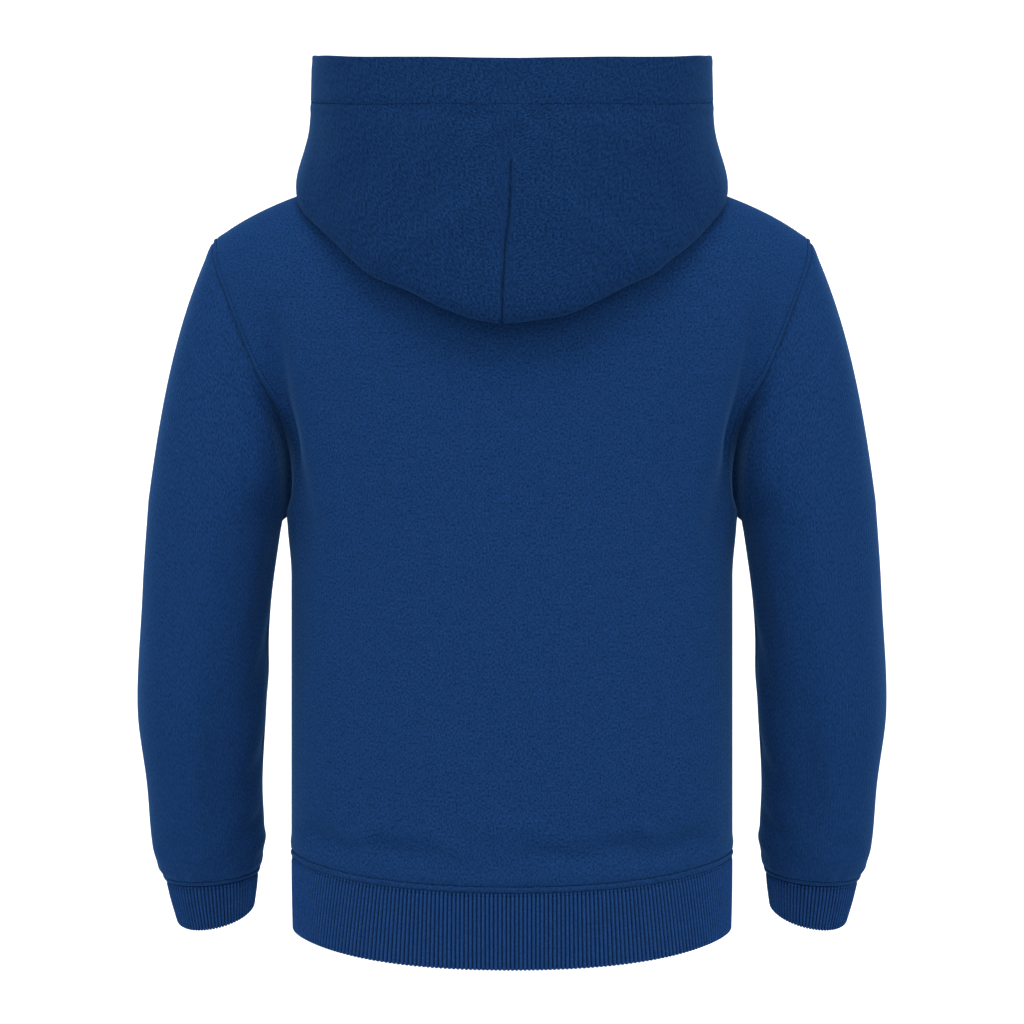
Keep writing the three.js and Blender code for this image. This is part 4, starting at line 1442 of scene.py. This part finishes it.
class HOODIE_OT_stage(bpy.types.Operator):
    """Set the floor, the lights and the camera."""

    bl_idname = "hoodie.stage"
    bl_label = "Stage"

    def execute(self, context):
        scene = context.scene
        stage = scene.hoodie_stage
        # The floor runs back and curves up into a wall.
        bend = np.arange(1, 13) / 12 * np.pi / 2
        y = np.concatenate([[3.2, -1.6], -1.6 - 1.2 * np.sin(bend), [-2.8]])
        z = np.concatenate([[0, 0], 1.2 - 1.2 * np.cos(bend), [4.5]]) + stage.floor
        corners = points(np.array([-5, 5]), y[:, None], z[:, None]).reshape(-1, 3)
        strip = 2 * np.arange(len(y) - 1)[:, None] + np.array([0, 1, 3, 2])
        floor = mesh_object("floor", corners, [strip])
        pale = plain("pale_floor", (0.76, 0.77, 0.78), 0.9)
        shader = pale.node_tree.nodes["Principled BSDF"]
        shader.inputs["Emission Color"].default_value = (1, 1, 1, 1)
        # The wall behind glows, and the floor does not.
        tree = pale.node_tree
        place = add_node(tree, "ShaderNodeTexCoord")
        split = add_node(tree, "ShaderNodeSeparateXYZ")
        tree.links.new(place.outputs["Object"], split.inputs[0])
        glow = ranged(
            tree, split.outputs["Y"], "SMOOTHSTEP", From_Min=-0.4, From_Max=-2.0, To_Max=0.6
        )
        tree.links.new(glow, shader.inputs["Emission Strength"])
        floor.data.materials.append(pale)

        world = bpy.data.worlds.new("studio")
        world.use_nodes = True
        back = world.node_tree.nodes["Background"]
        back.inputs["Color"].default_value = (1, 1, 1, 1)
        back.inputs["Strength"].default_value = 0.25
        scene.world = world
        # Every light faces the middle of the hoodie.
        middle = np.array([0, 0, -0.24])
        for name, place, size, power in (
            ("left", (2.5, 0.85, 0.7), 1.9, 0.95 * stage.key),
            ("right", (-2.5, 0.85, 0.7), 1.9, 0.95 * stage.key),
            ("front", (0.0, 3.2, 0.4), 2.0, 0.9 * stage.key),
            ("high", (0.0, 1.9, 2.2), 1.8, 1.35 * stage.key),
            ("top", (0.0, 0.2, 2.2), 2.0, 0.8 * stage.key),
        ):
            light = bpy.data.lights.new(name, "AREA")
            light.size = size
            light.energy = power
            lamp = bpy.data.objects.new(name, light)
            lamp.location = place
            aim = middle - np.array(place)
            lamp.rotation_euler = (
                math.atan2(math.hypot(aim[0], aim[1]), -aim[2]), 0, math.atan2(-aim[0], aim[1])
            )
            scene.collection.objects.link(lamp)

        lens = bpy.data.cameras.new("camera")
        lens.lens = stage.lens
        camera = bpy.data.objects.new("camera", lens)
        camera.location = (0, stage.distance, stage.height)
        camera.rotation_euler = (math.pi / 2, 0, math.pi)
        scene.collection.objects.link(camera)
        scene.camera = camera
        scene.view_settings.view_transform = "Standard"
        return {"FINISHED"}


class HOODIE_OT_declare(bpy.types.Operator):
    """A step that does nothing: it states no flat cuts."""

    bl_idname = "hoodie.declare"
    bl_label = "Flat cuts"

    def execute(self, context):
        return {"FINISHED"}


class HOODIE_PT_panel(bpy.types.Panel):
    """The hoodie's pieces and settings."""

    bl_idname = "HOODIE_PT_panel"
    bl_label = "Hoodie"
    bl_space_type = "VIEW_3D"
    bl_region_type = "UI"
    bl_category = "Hoodie"

    def draw(self, context):
        """A box of settings for each group, and a button for each operator."""
        for name, group in GROUPS.items():
            box = self.layout.box()
            box.label(text=group.__doc__)
            for key in group.__annotations__:
                box.prop(getattr(context.scene, name), key)
        for operator in OPERATORS:
            self.layout.operator(operator.bl_idname)


OPERATORS = (
    HOODIE_OT_stage,
    HOODIE_OT_body,
    HOODIE_OT_sleeves,
    HOODIE_OT_hood,
    HOODIE_OT_ribs,
    HOODIE_OT_stitches,
    HOODIE_OT_declare,
)


def register():
    """Register the settings, the operators and the panel."""
    for name, group in GROUPS.items():
        bpy.utils.register_class(group)
        setattr(bpy.types.Scene, name, bpy.props.PointerProperty(type=group))
    for item in (*OPERATORS, HOODIE_PT_panel):
        bpy.utils.register_class(item)


def unregister():
    """Undo register."""
    for item in reversed((*OPERATORS, HOODIE_PT_panel)):
        bpy.utils.unregister_class(item)
    for name, group in reversed(GROUPS.items()):
        delattr(bpy.types.Scene, name)
        bpy.utils.unregister_class(group)


def main():
    """Register the settings and build everything."""
    register()
    bpy.ops.hoodie.stage()
    bpy.ops.hoodie.body()
    bpy.ops.hoodie.sleeves()
    bpy.ops.hoodie.hood()
    bpy.ops.hoodie.ribs()
    bpy.ops.hoodie.stitches()
    bpy.ops.hoodie.declare()


if __name__ == "__main__":
    main()
